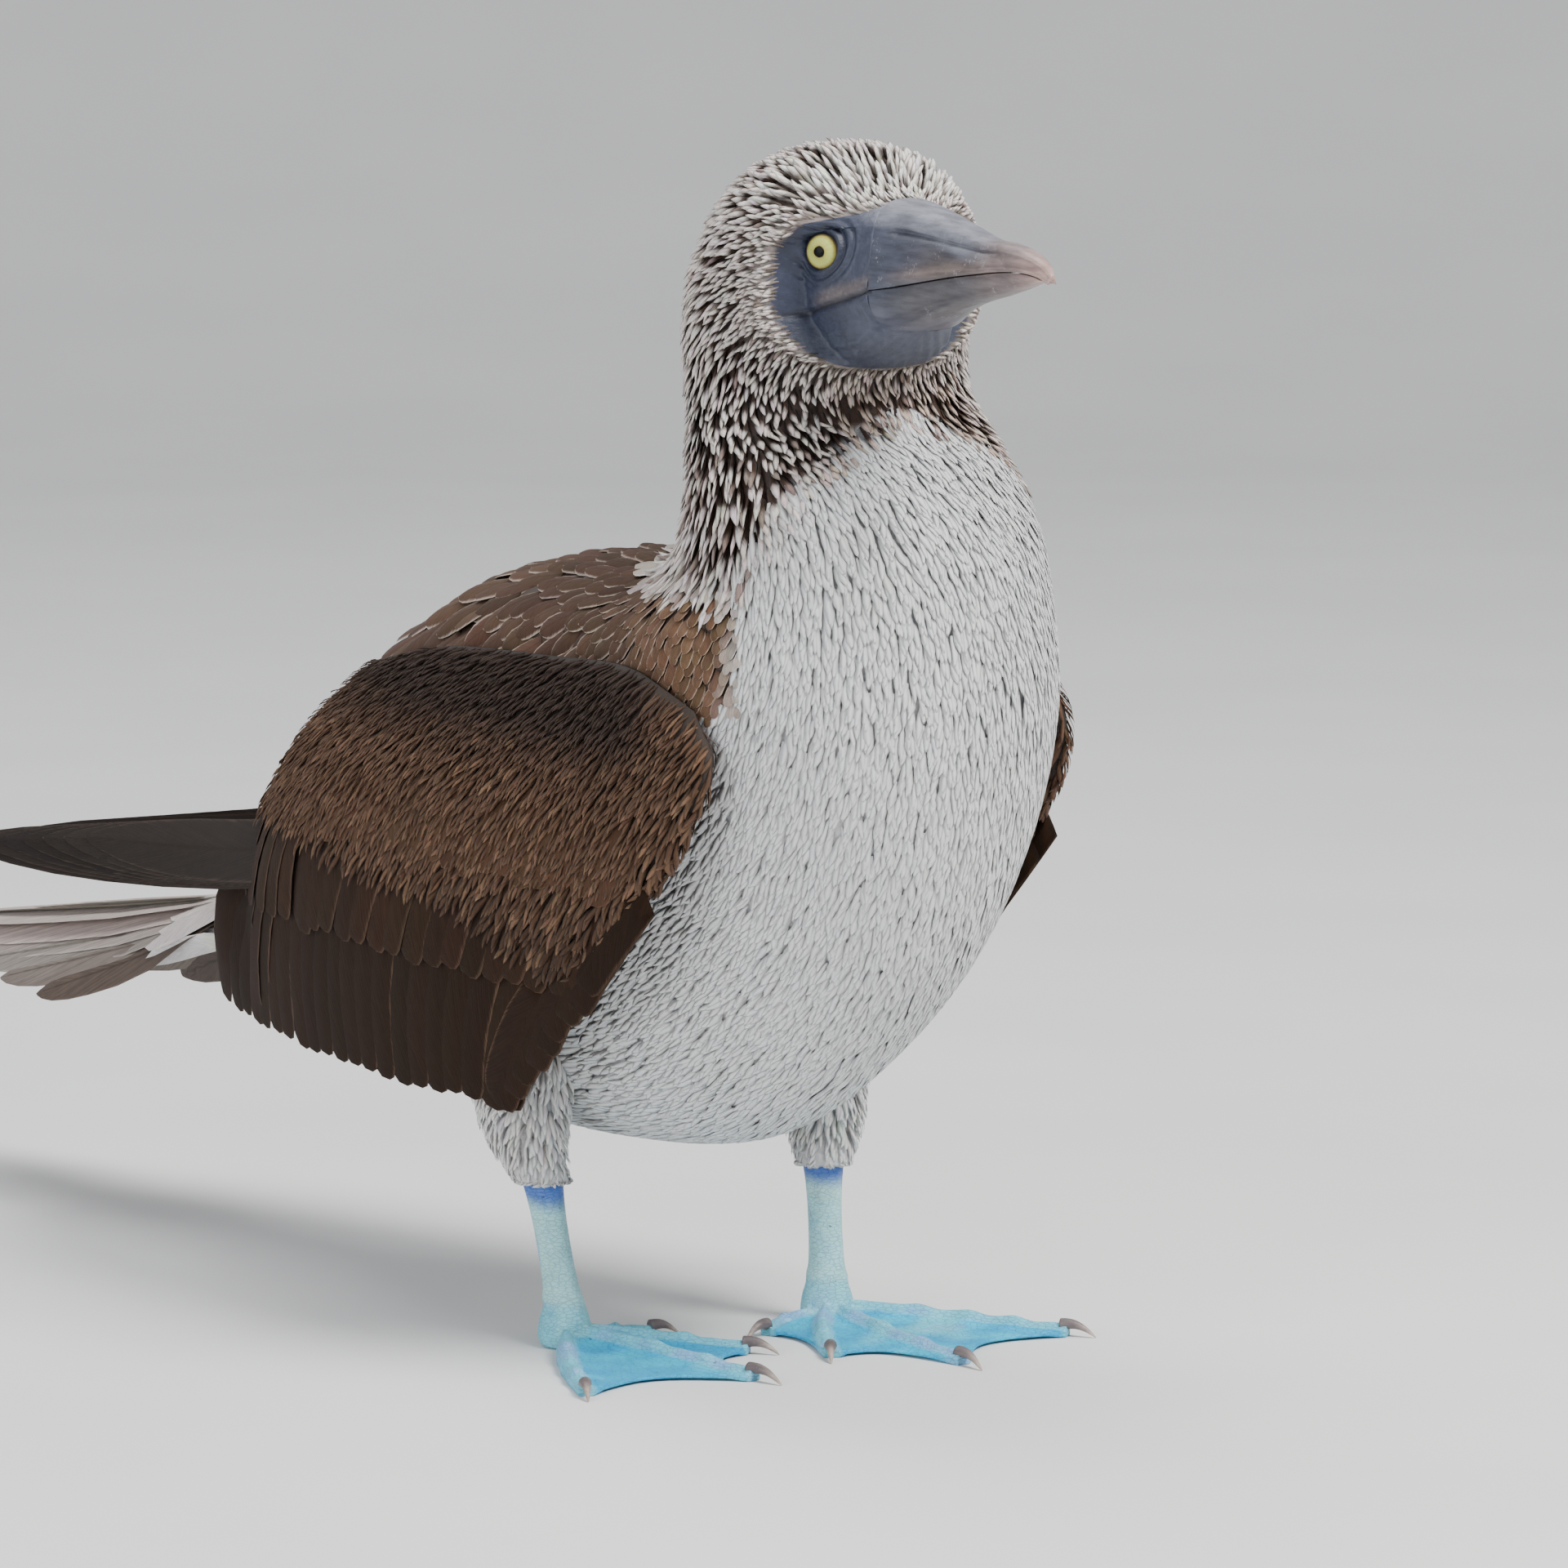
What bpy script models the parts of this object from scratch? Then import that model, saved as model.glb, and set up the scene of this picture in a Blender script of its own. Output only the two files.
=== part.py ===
import math

import bmesh
import bpy
import numpy as np
from mathutils import Vector
from mathutils.bvhtree import BVHTree

# Blue footed booby, standing, life size. Metres, +Z up, the bird faces -Y, its left is +X.
# The floor is z = 0 and the frame is drawn with the neck over x = 0, y = 0.

GAP = 0.0003
FEATHERED = True

# Body outline: dorsal y, z, ventral y, z, half width, share of the width line, roundness, turn.
TORSO = [
    (0.290, 0.128, 0.284, 0.102, 0.0140, 0.50, 2.1, 0),
    (0.270, 0.156, 0.250, 0.090, 0.0280, 0.50, 2.1, 0),
    (0.240, 0.183, 0.198, 0.074, 0.0420, 0.50, 2.15, 0),
    (0.204, 0.208, 0.146, 0.0615, 0.0530, 0.52, 2.2, 0),
    (0.166, 0.2275, 0.094, 0.0595, 0.0600, 0.54, 2.15, 0),
    (0.128, 0.2385, 0.044, 0.0660, 0.0625, 0.56, 2.05, 0),
    (0.097, 0.2430, 0.004, 0.0880, 0.0625, 0.57, 1.95, 0),
    (0.076, 0.2445, -0.030, 0.120, 0.0620, 0.55, 1.95, 0),
    (0.062, 0.2480, -0.0505, 0.158, 0.0610, 0.52, 2.0, 0),
    (0.054, 0.2550, -0.0600, 0.196, 0.0585, 0.50, 2.05, 0),
    (0.050, 0.2660, -0.0600, 0.228, 0.0545, 0.50, 2.1, -1),
]
NECK = [
    (0.050, 0.2660, -0.0600, 0.228, 0.0545, 0.50, 2.1, -1),
    (0.050, 0.2790, -0.0560, 0.254, 0.0515, 0.50, 2.1, -4),
    (0.0520, 0.2920, -0.0430, 0.274, 0.0470, 0.50, 2.1, -8),
    (0.0545, 0.3080, -0.0230, 0.290, 0.0435, 0.50, 2.1, -12),
]
HEAD = [
    (0.0545, 0.308, -0.0230, 0.290, 0.0435, 0.50, 2.1, -12),
    (0.0540, 0.323, -0.0175, 0.298, 0.0435, 0.50, 2.1, -13),
    (0.0510, 0.339, -0.0180, 0.3035, 0.0435, 0.50, 2.1, -13),
    (0.0435, 0.354, -0.0215, 0.3060, 0.0425, 0.50, 2.1, -13),
    (0.0290, 0.366, -0.0270, 0.3082, 0.0408, 0.52, 2.2, -13),
    (0.0120, 0.3718, -0.0315, 0.3105, 0.0370, 0.54, 2.3, -13),
    (-0.0070, 0.3715, -0.0360, 0.3135, 0.0315, 0.56, 2.4, -13),
    (-0.0240, 0.3660, -0.0415, 0.3165, 0.0240, 0.60, 2.5, -13),
    (-0.0370, 0.3585, -0.0470, 0.3200, 0.0176, 0.62, 2.5, -13),
]
HEAD_TURN = -13.0
TURN_Y = 0.010
HEAD_AXIS = (0.0, TURN_Y)

# Bare face: how far forward the feather edge stands at each height (forward, z).
FACE_EDGE = [
    (0.0520, 0.3600), (0.0450, 0.3568), (0.0400, 0.3545), (0.0290, 0.3505), (0.0235, 0.3440),
    (0.0220, 0.3360), (0.0215, 0.3240), (0.0260, 0.3135), (0.0300, 0.3083), (0.0340, 0.3055),
]
# Bare face: half width at each forward place, at eye height and at the jaw.
FACE_WIDE = [(0.010, 0.0265), (0.022, 0.0243), (0.032, 0.0222), (0.040, 0.0203), (0.048, 0.0176), (0.060, 0.0150)]

# Eyes, in the head's own forward / side / height.
EYE_AT = (0.0325, 0.0218, 0.3424)
EYE_RADIUS = 0.0082
EYE_SINK = 0.0063
EYE_OUT = math.radians(62.0)
EYE_UP = math.radians(4.0)
LID_RADIUS = 0.0065
LID_TUBE = 0.0013

# Bill stations: forward at the top, culmen z, mouth z, lower edge z, half width at the mouth.
BILL = [
    (0.0470, 0.3585, 0.3325, 0.3200, 0.0170),
    (0.0560, 0.3581, 0.3338, 0.3222, 0.0150),
    (0.0680, 0.3566, 0.3356, 0.3256, 0.0126),
    (0.0800, 0.3546, 0.3374, 0.3286, 0.0106),
    (0.0920, 0.3525, 0.3392, 0.3311, 0.0089),
    (0.1040, 0.3506, 0.3408, 0.3334, 0.0074),
    (0.1130, 0.3504, 0.3420, 0.3354, 0.0064),
    (0.1220, 0.3496, 0.3428, 0.3376, 0.0053),
    (0.1290, 0.3481, 0.3428, 0.3396, 0.0041),
    (0.1345, 0.3462, 0.3420, 0.3410, 0.0028),
    (0.1385, 0.3432, 0.3402, 0.3412, 0.0014),
]
BILL_LEAN = 0.255
MOUTH_GAP = 0.0004
MOUTH_BACK = [(0.0225, 0.0232, 0.3226), (0.0320, 0.0215, 0.3256), (0.0420, 0.0190, 0.3289),
              (0.0530, 0.0168, 0.3322)]

# Folded wing: outline of the arm in y, z.
WING_FRONT = [(0.000, 0.2070), (-0.0110, 0.1910), (-0.0060, 0.1720), (0.0110, 0.1510),
              (0.0420, 0.1260), (0.0720, 0.1070)]
WING_TOP = [(0.000, 0.2070), (0.030, 0.2165), (0.080, 0.2150), (0.140, 0.2115), (0.195, 0.2010)]
WING_REAR = [(0.195, 0.2010), (0.228, 0.1790), (0.253, 0.1510), (0.265, 0.1300), (0.273, 0.1120)]
# The far wing is carried a little higher and wider at its front than the near one.
WING_CARRY = {"right": (0.0, 0.0), "left": (0.0050, 0.0090)}
WING_FOOT = [(0.0720, 0.1070), (0.115, 0.1005), (0.190, 0.1005), (0.273, 0.1120)]
WING_WIDE = 0.0785
WING_THICK = 0.0085
SECONDARIES = 12
GREATER = 10
MEDIAN = 8
PRIMARIES = 5
VANE_THICK = 0.0009

# Tail.
TAIL_PAIRS = 6
TAIL_END = 0.488
TAIL_STEPS = (0.000, 0.006, 0.022, 0.045, 0.070, 0.097)

# Legs: side, top y, ankle y.
LEGS = {"right": (-0.0425, 0.1005, 0.0895), "left": (0.0445, 0.0710, 0.0690)}
CUFF_Z = 0.0500
ANKLE_Z = 0.0120
# Toes: degrees outward of forward, length.
TOES = {"outer": (33.0, 0.078), "middle": (-8.0, 0.080), "inner": (-38.0, 0.058),
        "hallux": (-78.0, 0.030)}
CLAWS = {"outer": 0.0085, "middle": 0.0105, "inner": 0.0085, "hallux": 0.0075}

PAINT = {
    "plumage_white": ((0.80, 0.78, 0.74), 0.85),
    "plumage_streaked": ((0.42, 0.36, 0.31), 0.85),
    "plumage_brown": ((0.10, 0.062, 0.040), 0.70),
    "plumage_tail": ((0.33, 0.28, 0.25), 0.70),
    "bill_horn": ((0.17, 0.19, 0.26), 0.40),
    "iris_yellow": ((0.62, 0.66, 0.20), 0.10),
    "skin_blue": ((0.06, 0.42, 0.55), 0.45),
    "claw_horn": ((0.30, 0.26, 0.24), 0.40),
}


def clear():
    for ob in list(bpy.data.objects):
        bpy.data.objects.remove(ob, do_unlink=True)


def material(name):
    found = bpy.data.materials.get(name)
    if found:
        return found
    colour, rough = PAINT[name]
    mat = bpy.data.materials.new(name)
    mat.use_nodes = True
    shader = mat.node_tree.nodes["Principled BSDF"]
    shader.inputs["Base Color"].default_value = (*colour, 1.0)
    shader.inputs["Roughness"].default_value = rough
    mat.diffuse_color = (*colour, 1.0)
    return mat


def solid(name, verts, faces, paint=None):
    mesh = bpy.data.meshes.new(name)
    mesh.from_pydata([tuple(map(float, v)) for v in verts], [], [tuple(map(int, f)) for f in faces])
    bm = bmesh.new()
    bm.from_mesh(mesh)
    bmesh.ops.recalc_face_normals(bm, faces=bm.faces)
    if bm.calc_volume(signed=True) < 0:
        bmesh.ops.reverse_faces(bm, faces=bm.faces)
    bm.to_mesh(mesh)
    bm.free()
    ob = bpy.data.objects.new(name, mesh)
    bpy.context.scene.collection.objects.link(ob)
    if paint:
        mesh.materials.append(material(paint))
    return ob


def spline(rows, n):
    rows = np.array(rows, float)
    m = len(rows)
    out = []
    for t in np.linspace(0, m - 1, n):
        i = min(int(t), m - 2)
        f = t - i
        p0 = rows[i - 1] if i > 0 else 2 * rows[0] - rows[1]
        p1, p2 = rows[i], rows[i + 1]
        p3 = rows[i + 2] if i + 2 < m else 2 * rows[-1] - rows[-2]
        out.append(0.5 * (2 * p1 + (p2 - p0) * f + (2 * p0 - 5 * p1 + 4 * p2 - p3) * f * f
                          + (3 * p1 - p0 - 3 * p2 + p3) * f ** 3))
    return np.array(out)


def turned(points, degrees):
    a = math.radians(degrees)
    c, s = math.cos(a), math.sin(a)
    out = np.array(points, float)
    x, y = out[..., 0].copy(), out[..., 1] - TURN_Y
    out[..., 0] = c * x - s * y
    out[..., 1] = s * x + c * y + TURN_Y
    return out


def ring(row, n):
    dy, dz, vy, vz, w, m, e, deg = row
    a = np.arange(n) * 2 * np.pi / n
    top, low = np.array([0, dy, dz]), np.array([0, vy, vz])
    mid = low + m * (top - low)
    s, c = np.sin(a), np.cos(a)
    up = np.sign(s) * np.abs(s) ** (2 / e)
    side = np.sign(c) * np.abs(c) ** (2 / e)
    pts = mid + np.outer(w * side, [1, 0, 0])
    pts = pts + np.where(up[:, None] > 0, np.outer(up, top - mid), np.outer(-up, low - mid))
    return turned(pts, deg)


def plane_normal(pts):
    c = pts.mean(0)
    k = len(pts) // 4
    n = np.cross(pts[0] - c, pts[k] - c)
    return n / np.linalg.norm(n)


def loft(name, rings, paint=None):
    n = len(rings[0])
    verts = [p for r in rings for p in r]
    faces = []
    for i in range(len(rings) - 1):
        for j in range(n):
            a, b = i * n + j, i * n + (j + 1) % n
            faces.append((a, b, b + n, a + n))
    for i in (0, len(rings) - 1):
        verts.append(rings[i].mean(0))
        hub = len(verts) - 1
        for j in range(n):
            faces.append((i * n + j, i * n + (j + 1) % n, hub))
    return solid(name, verts, faces, paint)


def smooth(x):
    x = np.clip(x, 0, 1)
    return x * x * (3 - 2 * x)


HEAD_F = np.array([math.sin(math.radians(HEAD_TURN)), -math.cos(math.radians(HEAD_TURN)), 0])
HEAD_S = np.array([math.cos(math.radians(HEAD_TURN)), math.sin(math.radians(HEAD_TURN)), 0])
HEAD_O = np.array([0, TURN_Y, 0])


def head_point(f, s, z):
    return HEAD_O + HEAD_F * f + HEAD_S * s + np.array([0, 0, z])


def head_frame(p):
    d = p - HEAD_O
    return d @ HEAD_F, d @ HEAD_S, p[2]


def face_edge(z):
    rows = sorted(FACE_EDGE, key=lambda r: r[1])
    return np.interp(z, [r[1] for r in rows], [r[0] for r in rows])


def apply_bool(ob, operation, other=None, group=None):
    mod = ob.modifiers.new("cut", "BOOLEAN")
    mod.operation = operation
    mod.solver = "EXACT"
    mod.double_threshold = 0.0
    if group:
        mod.operand_type = "COLLECTION"
        mod.collection = group
    else:
        mod.object = other
    bpy.context.view_layer.update()
    deps = bpy.context.evaluated_depsgraph_get()
    done = bpy.data.meshes.new_from_object(ob.evaluated_get(deps))
    old = ob.data
    ob.modifiers.clear()
    ob.data = done
    done.name = ob.name
    bpy.data.meshes.remove(old)
    extra = list(group.objects) if group else [other]
    for piece in extra:
        bpy.data.objects.remove(piece, do_unlink=True)
    if group:
        bpy.data.collections.remove(group)
    keep_largest(ob)


def keep_largest(ob):
    bm = bmesh.new()
    bm.from_mesh(ob.data)
    left = set(bm.faces)
    groups = []
    while left:
        seed = left.pop()
        seen = [seed]
        for f in seen:
            for e in f.edges:
                for g in e.link_faces:
                    if g in left:
                        left.discard(g)
                        seen.append(g)
        groups.append(seen)
    groups.sort(key=len, reverse=True)
    drop = [f for g in groups[1:] for f in g]
    if drop:
        bmesh.ops.delete(bm, geom=drop, context="FACES")
    bmesh.ops.triangulate(bm, faces=bm.faces)
    bm.to_mesh(ob.data)
    bm.free()


def grown(ob, amount, name):
    mesh = ob.data.copy()
    bm = bmesh.new()
    bm.from_mesh(mesh)
    bm.normal_update()
    moves = [v.normal * amount for v in bm.verts]
    for v, m in zip(bm.verts, moves):
        v.co += m
    bm.to_mesh(mesh)
    bm.free()
    new = bpy.data.objects.new(name, mesh)
    bpy.context.scene.collection.objects.link(new)
    return new


def tree_of(ob):
    bm = bmesh.new()
    bm.from_mesh(ob.data)
    tree = BVHTree.FromBMesh(bm)
    bm.free()
    return tree


# Trunk

def shoulder_swell(p):
    x, y, z = p
    along = smooth((y + 0.01) / 0.03) * smooth((0.215 - y) / 0.06)
    band = math.exp(-((z - 0.229 + 0.0) / 0.012) ** 2)
    return np.array([x * (1 + 0.10 * along * band), y, z])


def make_trunk():
    rings = [ring(r, 32) for r in spline(TORSO, 23)]
    rings = [rings[0]] + [np.array([shoulder_swell(p) for p in r]) for r in rings[1:-1]] + [rings[-1]]
    torso = loft("torso", rings, "plumage_white")
    neck = [ring(r, 32) for r in spline(NECK, 7)]
    n = plane_normal(neck[0])
    n = n if n[2] > 0 else -n
    neck[0] = neck[0] + n * GAP
    loft("neck", neck, "plumage_streaked")
    return torso


# Head

def head_shape(p):
    """Sink the bare face into the feathered hood, and model the brow and the lores."""
    f, s, z = head_frame(p)
    inside = float(smooth((f - face_edge(z)) / 0.0060))
    side = 1.0 if s > 0 else -1.0
    wide = np.interp(f, [r[0] for r in FACE_WIDE], [r[1] for r in FACE_WIDE])
    low = max(0.0, (0.334 - z) / 0.028)
    high = max(0.0, (z - 0.345) / 0.012)
    wide = wide * math.sqrt(max(0.05, 1 - 0.85 * min(1.0, low) ** 2)) * (1 - 0.10 * min(1, high) ** 2)
    eye = math.hypot(f - EYE_AT[0], z - EYE_AT[2])
    lore = math.hypot(f - 0.0440, z - 0.3420)
    wide += 0.0008 * math.exp(-((eye - 0.0085) / 0.003) ** 2) - 0.0010 * math.exp(-(lore / 0.006) ** 2)
    if abs(s) > wide:
        s = side * (abs(s) + (wide - abs(s)) * inside)
    return head_point(f, s, z)


def torus(name, centre, axis, major, minor, n, m):
    axis = axis / np.linalg.norm(axis)
    u = np.cross(axis, [0, 0, 1.0])
    u /= np.linalg.norm(u)
    v = np.cross(axis, u)
    verts, faces = [], []
    for i in range(n):
        a = 2 * math.pi * i / n
        r = math.cos(a) * u + math.sin(a) * v
        for j in range(m):
            b = 2 * math.pi * j / m
            verts.append(centre + r * (major + minor * math.cos(b)) + axis * minor * math.sin(b))
    for i in range(n):
        for j in range(m):
            faces.append((i * m + j, ((i + 1) % n) * m + j,
                          ((i + 1) % n) * m + (j + 1) % m, i * m + (j + 1) % m))
    return solid(name, verts, faces)


def ball(name, centre, radius, n, m, axis, paint=None):
    axis = axis / np.linalg.norm(axis)
    u = np.cross(axis, [0, 0, 1.0])
    u /= np.linalg.norm(u)
    v = np.cross(axis, u)
    verts, faces = [centre + axis * radius], []
    for i in range(1, m):
        t = math.pi * i / m
        for j in range(n):
            a = 2 * math.pi * j / n
            verts.append(centre + radius * (axis * math.cos(t)
                                            + (u * math.cos(a) + v * math.sin(a)) * math.sin(t)))
    verts.append(centre - axis * radius)
    for j in range(n):
        faces.append((0, 1 + j, 1 + (j + 1) % n))
        base = 1 + (m - 2) * n
        faces.append((base + j, base + (j + 1) % n, len(verts) - 1))
    for i in range(m - 2):
        for j in range(n):
            a, b = 1 + i * n + j, 1 + i * n + (j + 1) % n
            faces.append((a, b, b + n, a + n))
    return solid(name, verts, faces, paint)


def eye_pose(side):
    axis = (HEAD_F * math.cos(EYE_OUT) + HEAD_S * side * math.sin(EYE_OUT)) * math.cos(EYE_UP)
    axis = axis + np.array([0, 0, math.sin(EYE_UP)])
    return head_point(EYE_AT[0], side * EYE_AT[1], EYE_AT[2]) - axis * EYE_SINK, axis


def make_head():
    rings = [ring(r, 32) for r in spline(HEAD, 23)]
    n = plane_normal(rings[0])
    n = n if n[2] > 0 else -n
    rings[0] = rings[0] + n * GAP
    rings = [rings[0]] + [np.array([head_shape(p) for p in r]) for r in rings[1:-1]] + [rings[-1]]
    head = loft("head", rings, "plumage_streaked")
    lids = bpy.data.collections.new("lids")
    bpy.context.scene.collection.children.link(lids)
    for side in (-1, 1):
        centre, axis = eye_pose(side)
        ob = torus("lid", centre + axis * 0.0060, axis, LID_RADIUS, LID_TUBE, 18, 5)
        bpy.context.scene.collection.objects.unlink(ob)
        lids.objects.link(ob)
    apply_bool(head, "UNION", group=lids)
    sockets = bpy.data.collections.new("sockets")
    bpy.context.scene.collection.children.link(sockets)
    for side in (-1, 1):
        centre, axis = eye_pose(side)
        ob = ball("socket", centre, EYE_RADIUS + GAP, 16, 9, axis)
        bpy.context.scene.collection.objects.unlink(ob)
        sockets.objects.link(ob)
        slit = mouth_slit(side)
        bpy.context.scene.collection.objects.unlink(slit)
        sockets.objects.link(slit)
    apply_bool(head, "DIFFERENCE", group=sockets)
    for side, word in ((-1, "right"), (1, "left")):
        centre, axis = eye_pose(side)
        ball("eye_" + word, centre, EYE_RADIUS, 16, 9, axis, "iris_yellow")
    return head


def mouth_slit(side):
    rings = []
    for i, (f, s, z) in enumerate(MOUTH_BACK):
        open_by = (0.0002, 0.0005, 0.0005, 0.0005)[i]
        out, low = side * (s + 0.004), side * (s - 0.0022)
        rings.append(np.array([head_point(f, out, z - open_by - 0.0003), head_point(f, out, z + open_by),
                               head_point(f, low, z + 0.0001), head_point(f, low, z - 0.0002)]))
    return loft("slit", rings)


def bill_section(row, lower):
    f, zt, zm, zb, w = row
    lean = BILL_LEAN * float(1 - smooth((f - 0.047) / 0.06))

    def at(s, z):
        return head_point(f + (zt - z) * lean, s, z)

    if not lower:
        h = zt - zm
        half = [(0.00, 0.0), (0.30, 0.03), (0.52, 0.14), (0.64, 0.30), (0.62, 0.36), (0.76, 0.52),
                (0.93, 0.78), (1.00, 1.0)]
        right = [at(w * a, zt - h * b) for a, b in half]
        left = [at(-w * a, zt - h * b) for a, b in half[1:]]
        under = [at(w * 0.55, zm + 0.0003), at(-w * 0.55, zm + 0.0003)]
        return np.array(right + under + left[::-1])
    h = zm - MOUTH_GAP - zb
    top = zm - MOUTH_GAP
    half = [(0.97, 0.0), (0.98, 0.22), (0.88, 0.55), (0.62, 0.86), (0.30, 0.98)]
    right = [at(w * a, top - h * b) for a, b in half]
    left = [at(-w * a, top - h * b) for a, b in half]
    return np.array([at(0, top)] + right + [at(0, zb)] + left[::-1])


def make_bill():
    rows = spline(BILL, 18)
    rows = [tuple(r) for r in rows]
    first = np.array(rows[0])
    upper = [bill_section(r, False) for r in rows]
    n = plane_normal(upper[0])
    n = n if n @ HEAD_F > 0 else -n
    upper[0] = upper[0] + n * GAP
    loft("bill_upper", upper, "bill_horn")
    short = [r for r in rows if r[2] - MOUTH_GAP - r[3] > 0.0005 and r[0] < 0.1345]
    lower = [bill_section(r, True) for r in short]
    lower[0] = lower[0] + n * GAP
    loft("bill_lower", lower, "bill_horn")
    return first


# Wings

def curve(rows, n):
    pts = spline(rows, 60)
    seg = np.r_[0, np.cumsum(np.linalg.norm(np.diff(pts, axis=0), axis=1))]
    t = np.linspace(0, seg[-1], n)
    return np.stack([np.interp(t, seg, pts[:, k]) for k in range(pts.shape[1])], 1)


FLANK_TABLE = {}


def body_wide(y, z):
    hit = FLANK_TABLE["tree"].ray_cast(Vector((0.2, y, z)), Vector((-1, 0, 0)))
    return hit[0].x if hit[0] is not None else 0.0


def survey_flank(tree):
    """Half width the wing's upper rim takes where it lies on the body."""
    top = curve(WING_TOP, 12)
    rear = curve(WING_REAR, 8)[1:-2]
    rim = np.concatenate([top, rear])
    ys, zs, xs = [], [], []
    FLANK_TABLE["tree"] = tree
    for y, z in rim:
        ys.append(y)
        zs.append(z)
        xs.append(max(body_wide(y, z), 0.03) + 0.0058)
    FLANK_TABLE["y"], FLANK_TABLE["z"], FLANK_TABLE["x"] = ys, zs, xs


def flank(y, z):
    if y < 0.08:
        wide = WING_WIDE - 0.12 * (y - 0.08) ** 2
    else:
        wide = WING_WIDE - 0.92 * (y - 0.08) ** 2
    rim_z = float(np.interp(y, FLANK_TABLE["y"], FLANK_TABLE["z"]))
    rim_x = min(wide, float(np.interp(y, FLANK_TABLE["y"], FLANK_TABLE["x"])))
    low = rim_z - 0.058
    if z > low:
        wide -= (wide - rim_x) * min(1.3, ((z - low) / 0.058) ** 2)
    if z < 0.15:
        wide -= 0.0150 * ((0.15 - z) / 0.075) ** 1.6
    return max(wide, body_wide(y, z) + 0.0052)


def core_drop(z):
    return float(np.interp(z, [0.098, 0.120, 0.132, 0.150, 0.172, 0.2], [0.0034, 0.0022, 0.0016, 0.0008, 0.0, 0.0]))


def make_wing_core(name, side):
    np_, nq = 12, 7
    top, foot = curve(WING_TOP, np_), curve(WING_FOOT, np_)
    front, rear = curve(WING_FRONT, nq), curve(WING_REAR, nq)
    outer = np.zeros((np_, nq, 3))
    inner = np.zeros((np_, nq, 3))
    for i in range(np_):
        p = i / (np_ - 1)
        for j in range(nq):
            q = j / (nq - 1)
            c = ((1 - q) * top[i] + q * foot[i] + (1 - p) * front[j] + p * rear[j]
                 - (1 - p) * (1 - q) * top[0] - p * (1 - q) * top[-1]
                 - (1 - p) * q * foot[0] - p * q * foot[-1])
            y, z = c
            x = flank(y, z) - core_drop(z)
            lead = max(0.0, 1 - p / 0.12) * (1 - 0.55 * q)
            x -= 0.0045 * lead ** 2
            rim = max(0.0, 1 - q / 0.14)
            x -= 0.0018 * rim ** 2
            thick = WING_THICK * (1 - 0.80 * q) * (1 - 0.55 * p) + 0.0012
            thick *= 1 - 0.35 * lead
            wall = body_wide(y, z) + 0.0010
            low = max(x - thick, wall)
            if x - low < 0.0012:
                x = low + 0.0012
            outer[i, j] = (side * x, y, z)
            inner[i, j] = (side * low, y, z)
    verts = list(outer.reshape(-1, 3)) + list(inner.reshape(-1, 3))
    off = np_ * nq
    faces = []
    for i in range(np_ - 1):
        for j in range(nq - 1):
            a, b, c, d = i * nq + j, (i + 1) * nq + j, (i + 1) * nq + j + 1, i * nq + j + 1
            faces += [(a, b, c), (a, c, d), (a + off, c + off, b + off), (a + off, d + off, c + off)]
    edge = ([i * nq for i in range(np_)] + [(np_ - 1) * nq + j for j in range(1, nq)]
            + [i * nq + nq - 1 for i in range(np_ - 2, -1, -1)] + [j for j in range(nq - 2, 0, -1)])
    for k, a in enumerate(edge):
        b = edge[(k + 1) % len(edge)]
        faces += [(a, b, b + off), (a, b + off, a + off)]
    return solid(name, verts, faces, "plumage_brown")


def blade(name, centres, across, out, halves, thick, tilt, shaft=True):
    """A tapering plate with the same triangles on both faces."""
    verts = []
    for c, a, o, h, t in zip(centres, across, out, halves, thick):
        row = [c - a * h - o * tilt, c + a * h + o * tilt]
        if shaft:
            row.insert(1, c)
        verts += row + [p - o * t for p in row]
    n = 3 if shaft else 2
    faces = []
    for i in range(len(centres) - 1):
        k, m = i * 2 * n, (i + 1) * 2 * n
        for s in range(n - 1):
            faces += [(k + s, k + s + 1, m + s + 1), (k + s, m + s + 1, m + s)]
            faces += [(k + s + n, m + s + n + 1, k + s + n + 1), (k + s + n, m + s + n, m + s + n + 1)]
        e = n - 1
        faces += [(k, m, m + n), (k, m + n, k + n), (k + e, m + e + n, m + e), (k + e, k + e + n, m + e + n)]
    for k in (0, (len(centres) - 1) * 2 * n):
        for s in range(n - 1):
            faces += [(k + s, k + s + 1, k + s + n + 1), (k + s, k + s + n + 1, k + s + n)]
    return solid(name, verts, faces)


def flank_vane(side, root, tip, bend, half, sink, lift, shape, tilt, shaft):
    """One vane lying on the flank, root and tip in y, z; the front edge stands proud."""
    root, tip = np.array(root), np.array(tip)
    d = tip - root
    d /= np.linalg.norm(d)
    fwd = np.array([-abs(d[1]), -d[0] * np.sign(-d[1])])
    centres, across, out, halves, thick = [], [], [], [], []
    for t, w in shape:
        c = root + (tip - root) * t + fwd * (-bend) * math.sin(math.pi * t * 0.9)
        x = flank(c[0], c[1]) - sink * (1 - t) - lift * t
        e = 0.002
        ax = (flank(c[0] + fwd[0] * e, c[1] + fwd[1] * e) - flank(c[0], c[1])) / e
        a = np.array([side * ax, fwd[0], fwd[1]])
        a /= np.linalg.norm(a)
        centres.append(np.array([side * x, c[0], c[1]]))
        across.append(a)
        out.append(np.array([side * 1.0, 0, 0]))
        halves.append(half * w)
        thick.append(VANE_THICK if t < 0.95 else VANE_THICK * 0.5)
    return blade("vane", centres, across, out, halves, thick, tilt, shaft)


LONG = ((0.0, 0.85), (0.55, 1.0), (0.85, 0.90), (0.95, 0.56), (1.0, 0.14))
SHORT = ((0.0, 0.90), (0.60, 1.0), (0.88, 0.70), (1.0, 0.20))


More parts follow.
